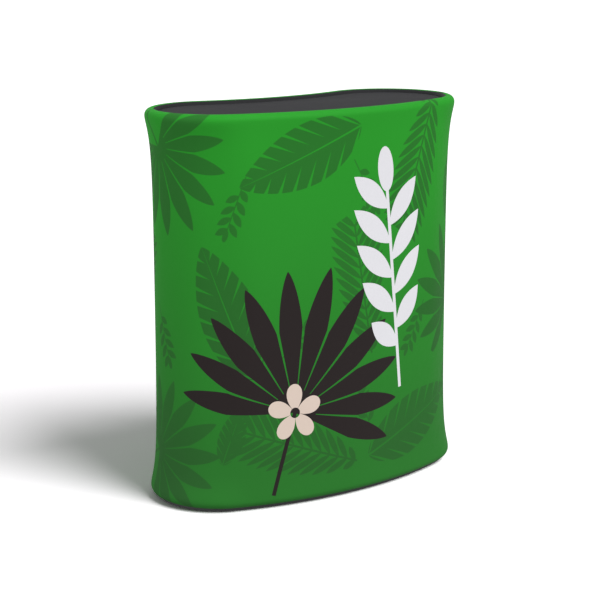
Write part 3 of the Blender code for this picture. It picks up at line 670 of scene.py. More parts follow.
# Each leaf: u, v, turn in degrees, length, kind, and how much fainter it is than the darkest
FAN, FROND, BLADE, SPRIG = 0, 1, 2, 3
LARGE_LEAVES = [
    (-0.54, 0.87, 300, 0.37, FAN, 0.00),
    (-0.16, 0.89, 202, 0.36, BLADE, 0.05),
    (0.22, 0.86, 250, 0.38, FROND, 0.05),
    (0.59, 0.87, 248, 0.36, FAN, 0.00),
    (0.96, 0.86, 300, 0.37, FROND, 0.05),
    (-0.91, 0.88, 235, 0.36, BLADE, 0.00),
    (-0.36, 0.51, 112, 0.36, BLADE, 0.10),
    (0.02, 0.54, 100, 0.36, FROND, 0.20),
    (0.40, 0.50, 112, 0.38, FAN, 0.10),
    (0.77, 0.52, 62, 0.37, BLADE, 0.15),
    (-1.10, 0.50, 120, 0.37, FAN, 0.15),
    (-0.73, 0.52, 70, 0.37, FROND, 0.10),
    (-0.55, 0.16, 24, 0.36, FAN, 0.30),
    (-0.16, 0.15, 160, 0.36, FROND, 0.35),
    (0.21, 0.16, 20, 0.36, BLADE, 0.35),
    (0.59, 0.16, 160, 0.36, FROND, 0.35),
    (0.96, 0.15, 20, 0.36, BLADE, 0.35),
    (-0.92, 0.16, 165, 0.36, FAN, 0.35),
]
SMALL_LEAVES = [
    (-0.34, 0.77, 250, 0.17, SPRIG, 0.15),
    (0.03, 0.80, 300, 0.17, SPRIG, 0.15),
    (0.40, 0.76, 265, 0.17, BLADE, 0.15),
    (0.78, 0.79, 100, 0.18, SPRIG, 0.20),
    (-1.10, 0.78, 80, 0.17, BLADE, 0.20),
    (-0.73, 0.79, 280, 0.17, BLADE, 0.10),
    (-0.56, 0.44, 290, 0.17, SPRIG, 0.20),
    (-0.16, 0.44, 40, 0.16, SPRIG, 0.30),
    (0.21, 0.41, 240, 0.16, SPRIG, 0.25),
    (0.59, 0.45, 260, 0.17, SPRIG, 0.25),
    (0.96, 0.42, 290, 0.17, SPRIG, 0.25),
    (-0.92, 0.43, 250, 0.16, BLADE, 0.25),
    (-0.35, 0.20, 70, 0.16, BLADE, 0.35),
    (0.03, 0.22, 110, 0.16, SPRIG, 0.35),
    (0.40, 0.22, 75, 0.15, SPRIG, 0.35),
    (0.78, 0.24, 110, 0.15, BLADE, 0.35),
    (-1.09, 0.20, 80, 0.15, SPRIG, 0.35),
    (-0.73, 0.22, 110, 0.16, SPRIG, 0.35),
]


def leaf_place(finish, sheet, u, v, degrees, length):
    """A leaf's own frame: its middle is 0, its rib runs along X, and its length is 1."""
    links = {
        "Vector": sheet, "Location": (u, v, 0), "Rotation": (0, 0, math.radians(degrees)),
        "Scale": (length, length, 1),
    }
    return finish.node("ShaderNodeMapping", links, vector_type="TEXTURE").outputs[0]


def split(finish, vector):
    made = finish.node("ShaderNodeSeparateXYZ", {0: vector})
    return Field(made.outputs[0]), Field(made.outputs[1])


def fan(x, y, leaflets=11, opening=2.15):
    """A fan palm leaf: pointed leaflets round a base, parted by fine slits, on a stalk. away is 0 along a
    leaflet's middle and 1 between two, and a leaflet is there within tip of the base."""
    base = x + 0.14
    reach = (base * base + y * y) ** 0.5
    turn = Field.math("ARCTAN2", y, base)
    away = ((turn * (leaflets / 4.3) + 0.5).part() - 0.5).size() * 2
    tip = (0.62 - turn.size() * 0.066) * (1 - 0.46 * away**1.25)
    inside = reach.below(tip) * turn.size().below(opening)
    slit = away.above(0.90) * reach.above(0.10)
    stem = y.size().below(0.009) * x.above(-0.5) * x.below(0)
    return (inside * (1 - slit)).least(stem)


def pinnate(x, y, pairs, lean_deg, spread, fullness, blunt, apart, bare, end):
    """Leaflets along both sides of a rib, each an ellipse or lens in its own slanted strip, and a stem.

    A leaflet leaves the rib at lean_deg: a runs along it, b across it. It is there where
    |b| < half width * (1 - |2a/reach - 1|^blunt). apart sets the two sides off, in pairs, and the
    leaflets stand between bare and end, as shares of the rib."""
    c, s = math.cos(math.radians(lean_deg)), math.sin(math.radians(lean_deg))
    aside = (y.above(0) * 2 - 1) * (apart / 2 / pairs)
    rib, out = x + 0.5, y.size()
    root = rib - out * (c / s) + aside
    middle = ((root * pairs).whole() + 0.5) / pairs - aside
    a = (rib - middle) * c + out * s
    b = ((rib - middle) * s - out * c).size()
    reach = (middle * (1.08 - middle)).least(0.0001) ** 0.5 * (2 * spread)
    bulge = 1 - ((a / reach * 2 - 1).size() ** blunt).most(1.0)
    leaflet = b.below(bulge * (0.5 / pairs * s * fullness)) * middle.above(bare) * middle.below(end)
    stem = out.below(0.008) * x.size().below(0.48)
    return leaflet.least(stem)


def frond(x, y):
    """A feather palm leaf."""
    return pinnate(x, y, 13.0, 44.0, 0.30, 0.86, 2.6, 0.0, 0.03, 0.97)


def sprig(x, y, pairs=6.0):
    """A twig with oval leaves by turns on both sides, and one at its tip."""
    tip = ((x - 0.41) / 0.09) ** 2 + (y / 0.042) ** 2
    leaves = pinnate(x, y, pairs, 46.0, 0.23, 0.84, 2.0, 0.5, 0.15, 0.80)
    twig = y.size().below(0.008) * (x - 0.38).below(0) * (x + 0.5).above(0)
    return leaves.least(tip.below(1.0)).least(twig)


def bloom(x, y):
    """A flower: five round petals where the distance from its middle is below |cos(2.5 * angle)|^0.5 / 2."""
    reach = (x * x + y * y) ** 0.5
    turn = Field.math("ARCTAN2", y, x)
    edge = Field.math("COSINE", turn * 2.5).size() ** 0.5 * 0.5
    return reach.below(edge) * reach.above(0.09)


def blade(x, y):
    """A broad blade with a pale rib, torn from its edge along some of its side veins. Its half width is
    0.215 sin(pi rib^0.86)^0.72, with rib from 0 at its foot to 1 at its tip."""
    rib = (x + 0.5).least(0.0001).most(0.9999)
    width = Field.math("SINE", rib**0.86 * math.pi).least(0.0) ** 0.72 * 0.215
    share = y.size() / width.least(0.0001)
    vein = (rib - y.size() * 0.85 + y * 0.12) * 8.0
    depth = ((vein.whole() * 12.9898).part() * 4.37).part()
    tear = vein.part().below((share - 0.15 - depth * 0.45) * 0.34)
    line = y.size().below(0.0065 * (1.1 - rib))
    return share.below(1.0) * x.size().below(0.5) * (1 - tear) * (1 - line)


SHAPES = {FAN: fan, FROND: frond, BLADE: blade, SPRIG: sprig}


def leaf_layer(finish, sheet, leaves):
    """How dark a layer of leaves is, 0 to 1: each place belongs to the leaf nearest for its length."""
    nearest, own, kind = None, None, None
    length = OUTLINE.length
    for u, v, degrees, size, sort, fainter in leaves:
        for shift in (-length, 0, length):
            if abs(u + shift) > length / 2 + size / 2:
                continue
            local = leaf_place(finish, sheet, u + shift, v, degrees, size)
            far = Field(finish.node("ShaderNodeVectorMath", {0: local}, operation="LENGTH").outputs["Value"])
            if nearest is None:
                nearest, own, kind = far, local, sort + fainter
                continue
            closer = far.below(nearest)
            own = finish.node("ShaderNodeMix", {0: closer, 4: own, 5: local}, data_type="VECTOR").outputs[1]
            kind = Field(finish.node("ShaderNodeMix", {0: closer, 2: kind, 3: sort + fainter}).outputs[0])
            nearest = nearest.most(far)
    x, y = split(finish, own)
    mask = None
    for sort in sorted({leaf[4] for leaf in leaves}):
        here = SHAPES[sort](x, y) * Field.math("COMPARE", kind.whole(), sort, 0.5)
        mask = here if mask is None else mask + here
    return mask * (1 - kind.part())


def motif(finish, sheet, base, shape, u, v, degrees, length, colour, **shape_values):
    """One larger motif laid over the pattern."""
    x, y = split(finish, leaf_place(finish, sheet, u, v, degrees, length))
    return finish.mix(shape(x, y, **shape_values), base, colour)


def knit(finish, sheet):
    """Fine columns and rows of knitted loops, as height."""
    return finish.ribs(sheet, 0.0011, "X") * 0.6 + finish.ribs(sheet, 0.00088, "Y") * 0.4


def printed_fabric():
    finish = Finish(
        "printed_fabric", GREEN, 0.62, Specular_IOR_Level=0.08, Sheen_Weight=0.02, Sheen_Roughness=0.45,
    )
    sheet = finish.cloth()
    _, height = split(finish, sheet)
    ground = finish.mix(finish.range(height, 0.10, 0.92, 1.0, 0.0), GREEN, LOW_GREEN)
    leaves = leaf_layer(finish, sheet, LARGE_LEAVES).least(leaf_layer(finish, sheet, SMALL_LEAVES))
    colour = finish.mix(leaves, ground, finish.mix(1.0, ground, LEAF_SHADE, "MULTIPLY"))
    colour = motif(finish, sheet, colour, fan, -0.161, 0.328, 74, 0.606, CHARCOAL, leaflets=13, opening=1.82)
    colour = motif(finish, sheet, colour, bloom, -0.184, 0.246, 20, 0.15, CREAM)
    colour = motif(finish, sheet, colour, sprig, 0.12, 0.58, 96, 0.64, PALE, pairs=7.0)
    loops = knit(finish, sheet)
    cloudy = finish.range(finish.noise(finish.place(), 3.0, 2.0), 0.3, 0.7, 0.975, 1.02)
    # Painted shade and highlight in the knit: the loops' low parts go down to 0.97 and their tops up to
    # 1.02, times a cloudy tone that differs at random.
    painted_knit_shade_and_cloud = finish.range(loops, 0.0, 1.0, 0.97, 1.02) * cloudy
    painted_knit_shade_and_cloud_colour = finish.node("ShaderNodeCombineXYZ", {0: painted_knit_shade_and_cloud, 1: painted_knit_shade_and_cloud, 2: painted_knit_shade_and_cloud}).outputs[0]
    finish.colour(finish.mix(1.0, colour, painted_knit_shade_and_cloud_colour, "MULTIPLY"))
    finish.roughness(finish.noise(finish.place(), 60.0), 0.58, 0.68)
    return finish.bump(loops, 0.00006, 0.5)


def fabric_reverse():
    """The unprinted side, where the dye shows through paler."""
    finish = Finish("fabric_reverse", display(176, 205, 172), 0.8, Sheen_Weight=0.2, Specular_IOR_Level=0.25)
    loops = knit(finish, finish.cloth())
    base = finish.mix(finish.noise(finish.place(), 9.0), display(170, 202, 166), display(184, 212, 180))
    # Painted shade between the knitted loops: their low parts are a darker green.
    return finish.painted_shade_relief(loops, display(158, 190, 154), base, 0.00008, 0.7)


def ribbed_elastic():
    """Black elastic with fine ribs along it and cross threads."""
    finish = Finish("black_elastic", cool_grey(28), 0.75, Sheen_Weight=0.05, Specular_IOR_Level=0.25)
    sheet = finish.cloth()
    height = finish.ribs(sheet, 0.0014, "Y") * 0.75 + finish.ribs(sheet, 0.0010, "X") * 0.25
    # Painted shade in the grooves between the ribs: the low parts are darker.
    return finish.painted_shade_relief(height, cool_grey(21), display(34, 34, 37), 0.00012, 0.7)


def twill_webbing():
    """Black tape in a diagonal twill."""
    finish = Finish("black_webbing", cool_grey(34), 0.8, Sheen_Weight=0.3)
    weave = finish.ribs(finish.stretched(finish.cloth(), (1, 1, 1), 0.8), 0.0016)
    # Painted shade in the twill's diagonal grooves: the low parts are darker.
    return finish.painted_shade_relief(weave, cool_grey(24), display(46, 46, 49), 0.00015, 0.8)


def closure_tape(name, fibre_scale, height):
    """Hook or loop tape: a pile of fine fibres on a woven ground."""
    finish = Finish(name, cool_grey(28), 0.9, Sheen_Weight=0.4)
    pile = finish.noise(finish.place(), fibre_scale, 4.0, 0.7)
    # Painted shade down in the pile: its low fibres are darker.
    return finish.painted_shade_relief(pile, display(17, 17, 18), display(52, 52, 55), height, 0.9)


def dark_laminate(name, grey):
    """Matt dark grey laminate with a very fine pressed grain."""
    finish = Finish(name, cool_grey(grey), 0.6, Specular_IOR_Level=0.06)
    place = finish.place()
    grain = finish.noise(place, 900.0, 2.0, 0.6)
    finish.colour(finish.mix(grain, cool_grey(grey - 3), cool_grey(grey + 4)))
    finish.roughness(finish.noise(place, 5.0), 0.56, 0.66)
    return finish.bump(grain, 0.00004, 0.5)


def black_plastic(name, grey, rough, grain_scale, height):
    """Moulded or extruded black plastic with a fine surface grain."""
    finish = Finish(name, cool_grey(grey), rough, Specular_IOR_Level=0.35)
    place = finish.place()
    grain = finish.noise(place, grain_scale, 3.0, 0.6)
    finish.colour(finish.mix(finish.noise(place, 20.0), cool_grey(grey - 3), cool_grey(grey + 4)))
    finish.roughness(grain, rough - 0.06, rough + 0.08)
    return finish.bump(grain, height, 0.5)


def drawn_metal(name, grey, rough, stretch):
    """Metal with fine draw lines along one way and a little tarnish."""
    finish = Finish(name, display(grey, grey + 1, grey + 4), rough, 0.75)
    place = finish.place()
    lines = finish.noise(finish.stretched(place, stretch), 1.0, 4.0, 0.6)
    dull, bright = display(grey - 12, grey - 10, grey - 8), display(grey + 10, grey + 11, grey + 13)
    finish.colour(finish.mix(finish.noise(place, 14.0), dull, bright))
    finish.roughness(lines, rough - 0.05, rough + 0.1)
    return finish.bump(lines, 0.00003, 0.4)


def foam_sheet():
    """Dark grey foam with fine open cells."""
    finish = Finish("grey_foam", cool_grey(70), 0.9, Specular_IOR_Level=0.2)
    cells = finish.noise(finish.place(), 1100.0, 2.0, 0.7)
    # Painted shade in the open cells: their low parts are darker.
    return finish.painted_shade_relief(cells, cool_grey(52), cool_grey(88), 0.0002, 0.7)


def sewing_thread(name, light, dark):
    """Twisted thread: slanting strands."""
    finish = Finish(name, light, 0.6)
    strands = finish.ribs(finish.place(), 0.0006, "DIAGONAL")
    # Painted shade in the grooves between the strands: the dark colour lies low and the light one on top.
    return finish.painted_shade_relief(strands, dark, light, 0.00005, 0.6)


PRINT = printed_fabric()
REVERSE = fabric_reverse()
ELASTIC = ribbed_elastic()
WEBBING = twill_webbing()
HOOKS = closure_tape("hook_pile", 1500.0, 0.0003)
LOOPS = closure_tape("loop_pile", 700.0, 0.0005)
LAMINATE = dark_laminate("dark_laminate", 55)
# Painted light: the base board is the top's dark laminate made lighter, so that its edge in the shade under
# the fabric's curl renders mid grey.
BASE_LAMINATE_PAINTED_LIGHT = dark_laminate("base_laminate", 96)
EDGING = black_plastic("black_edging", 38, 0.45, 500.0, 0.00002)
NYLON = black_plastic("black_nylon", 30, 0.5, 700.0, 0.00006)
HOOP_METAL = drawn_metal("hoop_aluminium", 182, 0.32, (60, 60, 900))
POST_METAL = drawn_metal("post_aluminium", 182, 0.32, (900, 900, 12))
STEEL = drawn_metal("zinc_steel", 158, 0.28, (400, 400, 400))
FOAM = foam_sheet()
# Each thread's second colour is painted shade between its strands.
GREEN_THREAD = sewing_thread("green_thread", display(50, 156, 50), display(24, 86, 26))
BLACK_THREAD = sewing_thread("black_thread", cool_grey(44), display(14, 14, 15))


# The counter

def sleeve():
    """The printed sleeve: under the lower hoop, up the drawn-in wall and over the upper hoop. Its rows
    stand closer together near the hoops, where the wall bends most."""
    u = OUTLINE.u
    ease = np.linspace(0, 1, 25) ** 1.6
    low = FOOT_HOOP_Z + (DOOR_LOW - FOOT_HOOP_Z) * ease
    high = TOP_HOOP_Z - (TOP_HOOP_Z - DOOR_HIGH) * ease[::-1]
    z = np.concatenate((low, np.linspace(DOOR_LOW, DOOR_HIGH, 34)[1:-1], high))
    turns = np.linspace(0, PRINT_END, 15)[1:]
    skins = []
    for radius, lift in ((WRAP, 0.0), (WRAP - FABRIC, -FABRIC)):
        under = curl(u[:-1], FOOT_HOOP_Z, -turns[::-1], radius)
        over = curl(u[:-1], TOP_HOOP_Z, turns, radius)
        skins.append(np.concatenate((under, wall(u[:-1], z, lift), over)))
    v = np.concatenate((FOOT_HOOP_Z - WRAP * turns[::-1], z, TOP_HOOP_Z + WRAP * turns))
    middle = (v[:-1] + v[1:]) / 2
    station = np.arange(OUTLINE.count)
    columns = (station >= OUTLINE.door_start) | (station < OUTLINE.door_end)
    holes = ((middle > DOOR_LOW) & (middle < DOOR_HIGH))[:, None] & columns[None, :]
    piece = fitted(solid_sheet("printed_sleeve", *skins, [PRINT, REVERSE], u, v, True, holes),
                   "fabric_sleeve", "frame")


def hem(name, node, hoop_z, side):
    """The elastic hem on a hoop's inner side, from the print's edge round to the tube's inner line."""
    u = OUTLINE.u
    turns = np.sort(np.linspace(PRINT_END + SKIN_GAP / WRAP, HEM_END, 16) * side)
    skins = [curl(u[:-1], hoop_z, turns, r) for r in (WRAP, WRAP - FABRIC)]
    piece = facing_out(solid_sheet(name, *skins, [ELASTIC], u, WRAP * turns, True))
    fitted(piece, node, "frame")


def half_hoop(level, side, hoop_z, u):
    """Half a hoop: a round tube swept along the outline, kept short of the counter's middle."""
    around = np.linspace(0, 2 * math.pi, 29)
    skins = []
    for radius in (TUBE_RADIUS, TUBE_RADIUS - TUBE_WALL):
        skin = curl(u, hoop_z, around[:-1], radius)
        skin[:, (0, -1), 0] += SKIN_GAP * (1 if side == "right" else -1)
        skins.append(skin.transpose(1, 0, 2)[:, ::-1])
    name = f"{level}_tube_{side}"
    return facing_out(solid_sheet(name, *skins, [HOOP_METAL], around * TUBE_RADIUS, u, True))


def on_hoop(u, hoop_z, turn_deg):
    """A point on a hoop's axis, the way out of its tube at an angle, and the way along it. At 0 degrees
    the way out is the outline's own, and a quarter turn on it is up."""
    p, n, _ = OUTLINE.at(np.array([u]))
    (x, y), turn = n[0], math.radians(turn_deg)
    axis = (*(p[0] - n[0] * WRAP), hoop_z)
    return axis, (x * math.cos(turn), y * math.cos(turn), math.sin(turn)), (-y, x, 0.0)


def button_hole(place, outward, pin_radius, end):
    """A cutter for the hole in a tube that a button's pin slides in."""
    radius = pin_radius + SKIN_GAP
    return lathe("hole", [(radius, HOLE_START), (radius, end)], place, outward, STEEL, 32)


def snap_clip(names, place, outward, along, leaf_at, leaf_shift, radius, tip):
    """A sprung button: a domed pin that stands on a flat leaf inside its tube. names holds {} for each
    piece's own word. The pin's dome is a quarter of an ellipse, turned."""
    dome = np.linspace(0, math.pi / 2, 6)[:-1]
    profile = [(radius, leaf_at + LEAF_THICKNESS / 2)]
    profile += [(radius * math.cos(a), tip - BUTTON_DOME + BUTTON_DOME * math.sin(a)) for a in dome]
    pin = lathe("pin", [*profile, (POLE, tip)], place, outward, STEEL, 32)
    out, way = Vector(outward), Vector(along)
    turn = Matrix((way, out.cross(way), out)).transposed().to_4x4()
    turn.translation = Vector(place) + out * (leaf_at + LEAF_THICKNESS / 2) + way * leaf_shift
    leaf = block("leaf", (LEAF_LENGTH, LEAF_WIDTH, LEAF_THICKNESS), turn, STEEL, LEAF_CORNER)
    button = joined(names.format("sprung_button"), [pin, leaf])
    fitted(button, names.format("snap_clip"), names.format("button"))


def rivet(place, outward):
    """A rivet's low domed head on a hoop's tube, as shares of its radius and heights above the tube."""
    head = [(1.0, -0.0010), (1.0, 0.0), (0.9, 0.0006), (0.6, 0.0010), (POLE / RIVET_RADIUS, 0.0011)]
    profile = [(RIVET_RADIUS * share, TUBE_RADIUS + height) for share, height in head]
    return lathe("rivet", profile, place, outward, STEEL, 24)


def hoops():
    """The four half hoops, with the buttons that lock them and the rivets that hold their spigots."""
    rivets = []
    for level, hoop_z, turn_deg in (("top", TOP_HOOP_Z, 247.5), ("bottom", FOOT_HOOP_Z, 112.5)):
        left = half_hoop(level, "left", hoop_z, OUTLINE.u[:OUTLINE.front + 1])
        right = half_hoop(level, "right", hoop_z, OUTLINE.u[OUTLINE.front:])
        cutters = []
        for end in ("front", "back"):
            low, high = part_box(f"{level}_{end}_snap_clip")
            button_u, rivet_u = (low.x + high.x) / 2, -RIVET_FROM_JOINT
            if end == "back":
                button_u, rivet_u = OUTLINE.u[-1] - button_u, OUTLINE.u[0] - rivet_u
            place, outward, along = on_hoop(button_u, hoop_z, turn_deg)
            cutters.append(button_hole(place, outward, HOOP_PIN, HOOP_HOLE_END))
            snap_clip(
                f"{level}_{end}_{{}}", place, outward, along, HOOP_LEAF_AT, 0.0, HOOP_PIN,
                TUBE_RADIUS + BUTTON_PROUD,
            )
            rivets.append(rivet(*on_hoop(rivet_u, hoop_z, turn_deg)[:2]))
        bored(right, cutters)
        fitted(left, f"{level}_hoop_left", "frame")
        fitted(right, f"{level}_hoop_right", "frame")
    fitted(joined("spigot_rivets", rivets), None, "frame")


def boards():
    """Tabletop with its edging, base board and floor sheet."""
    low, high = (corner.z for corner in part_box("tabletop_board"))
    inset = OUTLINE.half_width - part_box("tabletop_edging")[1].x
    top = plate("laminated_top", inset + EDGING_WIDTH + SKIN_GAP, low, high, 0.0003, LAMINATE)
    fitted(top, "tabletop_board", "tabletop")
    tight, wide = 0.0003, 0.0010
    depth = np.array((EDGING_WIDTH, tight, 0.0, 0.0, tight, wide, EDGING_WIDTH))
    z = np.array((low, low, low + tight, high - wide, high - tight, high, high))
    strip = rings_solid("top_edging", OUTLINE.inset(inset + depth, z), EDGING, True)
    fitted(strip, "tabletop_edging", "tabletop")
    for name, node, edge, material, slot in (
        ("base_plate", "base_board", 0.0008, BASE_LAMINATE_PAINTED_LIGHT, "dark_laminate"),
        ("floor_sheet", "floor_pad", 0.0003, FOAM, "grey_foam"),
    ):
        low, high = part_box(node)
        board = plate(name, OUTLINE.half_width - high.x, low.z, high.z, edge, material)
        fitted(board, node, "frame")


class Post:
    """Where a post stands: its axis, and the outward direction of the outline beside it."""

    def __init__(self, name):
        self.name = name
        low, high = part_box(f"post_{name}")
        self.axis = ((low.x + high.x) / 2, (low.y + high.y) / 2)
        self.low, self.high = low.z, high.z
        gap = OUTLINE.p - np.array(self.axis)
        nearest = np.argmin(np.linalg.norm(gap, axis=1))
        self.out = gap[nearest] / np.linalg.norm(gap[nearest])
        self.inward = (*-self.out, 0.0)

    def point(self, out, along, z):
        """A point out of the post's axis towards the fabric, and along the outline from there."""
        side = np.array((-self.out[1], self.out[0]))
        return (*(np.array(self.axis) + self.out * out + side * along), z)

    def turned(self, kind, profile, material, loop=False):
        """A piece turned about the post's axis."""
        return lathe(f"{self.name}_{kind}", profile, (*self.axis, 0), UP, material, loop=loop)


POSTS = [Post(f"{a}_{b}") for a in ("front", "rear") for b in ("right", "left")]


def post_tube(post):
    """A round post with its edges taken off, bored for its two buttons, and the buttons."""
    radius, inner, edge = POST_RADIUS, POST_RADIUS - TUBE_WALL, POST_EDGE
    tube = post.turned("tube", [
        (inner, post.low), (radius - edge, post.low), (radius, post.low + edge),
        (radius, post.high - edge), (radius - edge, post.high), (inner, post.high),
    ], POST_METAL, True)
    cutters = []
    for end, z, rise in (("foot", SOCKET_Z + BUTTON_FROM_END, 1), ("head", HEAD_Z - BUTTON_FROM_END, -1)):
        place, shift = (*post.axis, z), rise * (LEAF_LENGTH / 2 - LEAF_OVERHANG)
        cutters.append(button_hole(place, post.inward, POST_PIN, POST_HOLE_END))
        snap_clip(
            f"{end}_{{}}_{post.name}", place, post.inward, UP, POST_LEAF_AT, shift, POST_PIN,
            COLLAR_RADIUS + BUTTON_PROUD,
        )
    fitted(bored(tube, cutters), f"post_{post.name}", "frame")


def screw(place, direction, radius, height):
    """A pan head with a six-sided recess: shares of its radius and height, over a sunk rim."""
    head = ((0.97, 0.0), (1.0, 0.25), (0.93, 0.7), (0.72, 0.95), (0.55, 1.0), (0.50, 1.0), (0.46, 0.35))
    profile = [(radius * 0.6, -0.0008), *((radius * r, height * h) for r, h in head)]
    return lathe("screw", profile, place, direction, STEEL, 36, hexagon=(6, 7))


def socket_screws(post):
    """Screws down through the foot socket's two ears, and through each socket's saddle into its hoop."""
    reach = POST_INSET - WRAP
    places = [
        (post.point(-EAR_INSET, -EAR_REACH, SOCKET_Z + EAR_TOP), UP),
        (post.point(-EAR_INSET, EAR_REACH, SOCKET_Z + EAR_TOP), UP),
        (post.point(reach, 0, FOOT_HOOP_Z + SADDLE_TOP), UP),
        (post.point(reach, 0, TOP_HOOP_Z - SADDLE_TOP), DOWN),
    ]
    return [screw(place, direction, *SOCKET_SCREW) for place, direction in places]


def shelf_rest(post):
    """The clip round a post that the shelf rests on. Returns its screw."""
    low, high = (corner.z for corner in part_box(f"shelf_clip_{post.name}"))
    clip = post.turned("shelf_rest", [
        (REST_BORE, low), (REST_RADIUS - REST_EDGE, low), (REST_RADIUS, low + REST_EDGE),
        (REST_RADIUS, high - REST_EDGE), (REST_RADIUS - REST_EDGE, high), (REST_BORE, high),
    ], NYLON, True)
    fitted(clip, f"shelf_clip_{post.name}", "frame")
    return screw(post.point(POLE - REST_RADIUS, 0, (low + high) / 2), post.inward, *REST_SCREW)


def top_peg(post):
    """The peg under the top that drops into a post: a hollow foot, a plain shank and a thin stem."""
    low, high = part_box(f"tabletop_peg_{post.name}")
    radius, under = (high.x - low.x) / 2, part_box("tabletop_board")[0].z - SKIN_GAP
    peg = post.turned("top_peg", [
        (radius - 0.0040, low.z), (radius - 0.0026, low.z), (radius - 0.0018, low.z + 0.0004),
        (radius, low.z + 0.0030), (radius, under), (0.0030, under), (0.0030, high.z),
    ], NYLON)
    fitted(peg, f"tabletop_peg_{post.name}", "tabletop")


def posts():
    """The posts with all that they hold, and their screws as one piece."""
    screws = []
    for post in POSTS:
        post_tube(post)
        screws += [*socket_screws(post), shelf_rest(post)]
        top_peg(post)
        for end in ("foot", "head"):
            node = f"{end}_socket_{post.name}"
            piece = softened(node, f"{end}_fitting_{post.name}", NYLON, 0.0008)
            fitted(piece, node, "frame")
    fitted(joined("fitting_screws", screws), None, "frame")


def shelf():
    """The shelf, notched round the posts: half a circle, and straight sides out to its edge."""
    low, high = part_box("shelf_board")
    board = plate("laminated_shelf", OUTLINE.half_width - high.x, low.z, high.z, 0.0006, LAMINATE)
    flat = [
        (NOTCH_RADIUS * math.cos(a), NOTCH_RADIUS * math.sin(a))
        for a in np.linspace(math.pi / 2, 1.5 * math.pi, 17)
    ]
    flat += [(NOTCH_REACH, -NOTCH_RADIUS), (NOTCH_REACH, NOTCH_RADIUS)]
    cutters = []
    for post in POSTS:
        rings = [[post.point(out, along, z) for out, along in flat] for z in (low.z - 0.01, high.z + 0.01)]
        cutters.append(rings_solid("notch", np.array(rings), LAMINATE))
    fitted(bored(board, cutters), "shelf_board", "shelf")


def band(name, u, z, lift, thickness, material, holes=None):
    """Cloth lying on the sleeve's wall. lift is how far its under side stands off."""
    return solid_sheet(name, wall(u, z, lift + thickness), wall(u, z, lift), [material], u, z, False, holes)


def from_edges(places, low, high):
    """Distances from the nearer of two edges."""
    return np.minimum(places - low, high - places)


def flap_wave(u, z):
    """How far the closed flap stands off its tapes: slow waves that fade before its edges."""
    aside, level = from_edges(u, *FLAP_SIDES), from_edges(z, DOOR_LOW, DOOR_HIGH)
    fade = smooth_step((aside - 0.022) / 0.05)[None, :] * smooth_step((level - 0.002) / 0.08)[:, None]
    wave = np.sin(z[:, None] * 21 + 1.1 + 4 * u[None, :]) * np.cos(u[None, :] * 19)
    return RIPPLE * fade * (1 + wave) / 2


def flap_hem(u, z):
    """The rise of the flap's turned hem, along all four edges: a smooth step down at its inner line."""
    edge = np.minimum(from_edges(u, *FLAP_SIDES)[None, :], from_edges(z, FLAP_LOW, FLAP_HIGH)[:, None])
    return HEM_RISE * (1 - smooth_step((edge - HEM_WIDTH) / HEM_FOLD))


def edge_steps(low, high, step, also_at=()):
    """Places from low to high, with closer ones beside a hem at both ends."""
    fold = HEM_WIDTH + np.array((0, HEM_FOLD / 2, HEM_FOLD, 0.003))
    hem_places = np.concatenate(((0.0, 0.004), fold))
    middle = np.linspace(low + 0.02, high - 0.02, round((high - low - 0.04) / step) + 1)
    return np.unique(np.concatenate((low + hem_places, middle, high - hem_places, also_at)).round(7))


def flap():
    """The access flap over the doorway: rippled cloth with a turned hem."""
    u = edge_steps(*FLAP_SIDES, 0.008, (SEAM,))
    z = edge_steps(FLAP_LOW, FLAP_HIGH, 0.011)
    lift = FLAP_LIFT + flap_wave(u, z)
    skins = [wall(u, z, lift + FABRIC + flap_hem(u, z)), wall(u, z, lift)]
    piece = fitted(solid_sheet("printed_flap", *skins, [PRINT, REVERSE], u, z),
                   "access_flap", "access_flap")


def door_tapes():
    """Hook tape on three sides of the doorway, loop tape on the flap to match, and the hinge's tape."""
    u = np.concatenate(([TAPE_FAR], np.linspace(TAPE_NEAR, SEAM, 20), np.linspace(SEAM, TAPE_END, 20)[1:]))
    z = np.concatenate((
        np.linspace(TAPE_LOW, OPEN_LOW, 3), np.linspace(OPEN_LOW, OPEN_HIGH, 60)[1:-1],
        np.linspace(OPEN_HIGH, TAPE_HIGH, 3),
    ))
    middle = (z[:-1] + z[1:]) / 2
    holes = ((middle > OPEN_LOW) & (middle < OPEN_HIGH))[:, None] & (np.arange(len(u) - 1) > 0)[None, :]
    hooks = band("door_hook_tape", u, z, SKIN_GAP, TAPE, HOOKS, holes)
    fitted(hooks, "hook_tape", "frame")
    loops = band("flap_loop_tape", u, z, 2 * SKIN_GAP + TAPE, TAPE, LOOPS, holes)
    fitted(loops, "loop_tape", "access_flap")
    u, z = np.array(HINGE_SIDES), np.linspace(TAPE_LOW, TAPE_HIGH, 70)
    hinge = band("door_hinge_tape", u, z, SKIN_GAP, FLAP_LIFT - 2 * SKIN_GAP, WEBBING)
    fitted(hinge, "flap_hinge_tape", "frame")


def pull_tab():
    """The webbing tab at the flap's free edge."""
    low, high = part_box("flap_pull_tab")
    u = np.linspace(FLAP_SIDES[0] - TAB_REACH, OUTLINE.back(DOOR_HALF), 20)
    z = np.linspace(low.z, high.z, 9)
    tab = band("webbing_pull_tab", u, z, TAB_LIFT, TAB_THICKNESS, WEBBING)
    fitted(tab, "flap_pull_tab", "access_flap")


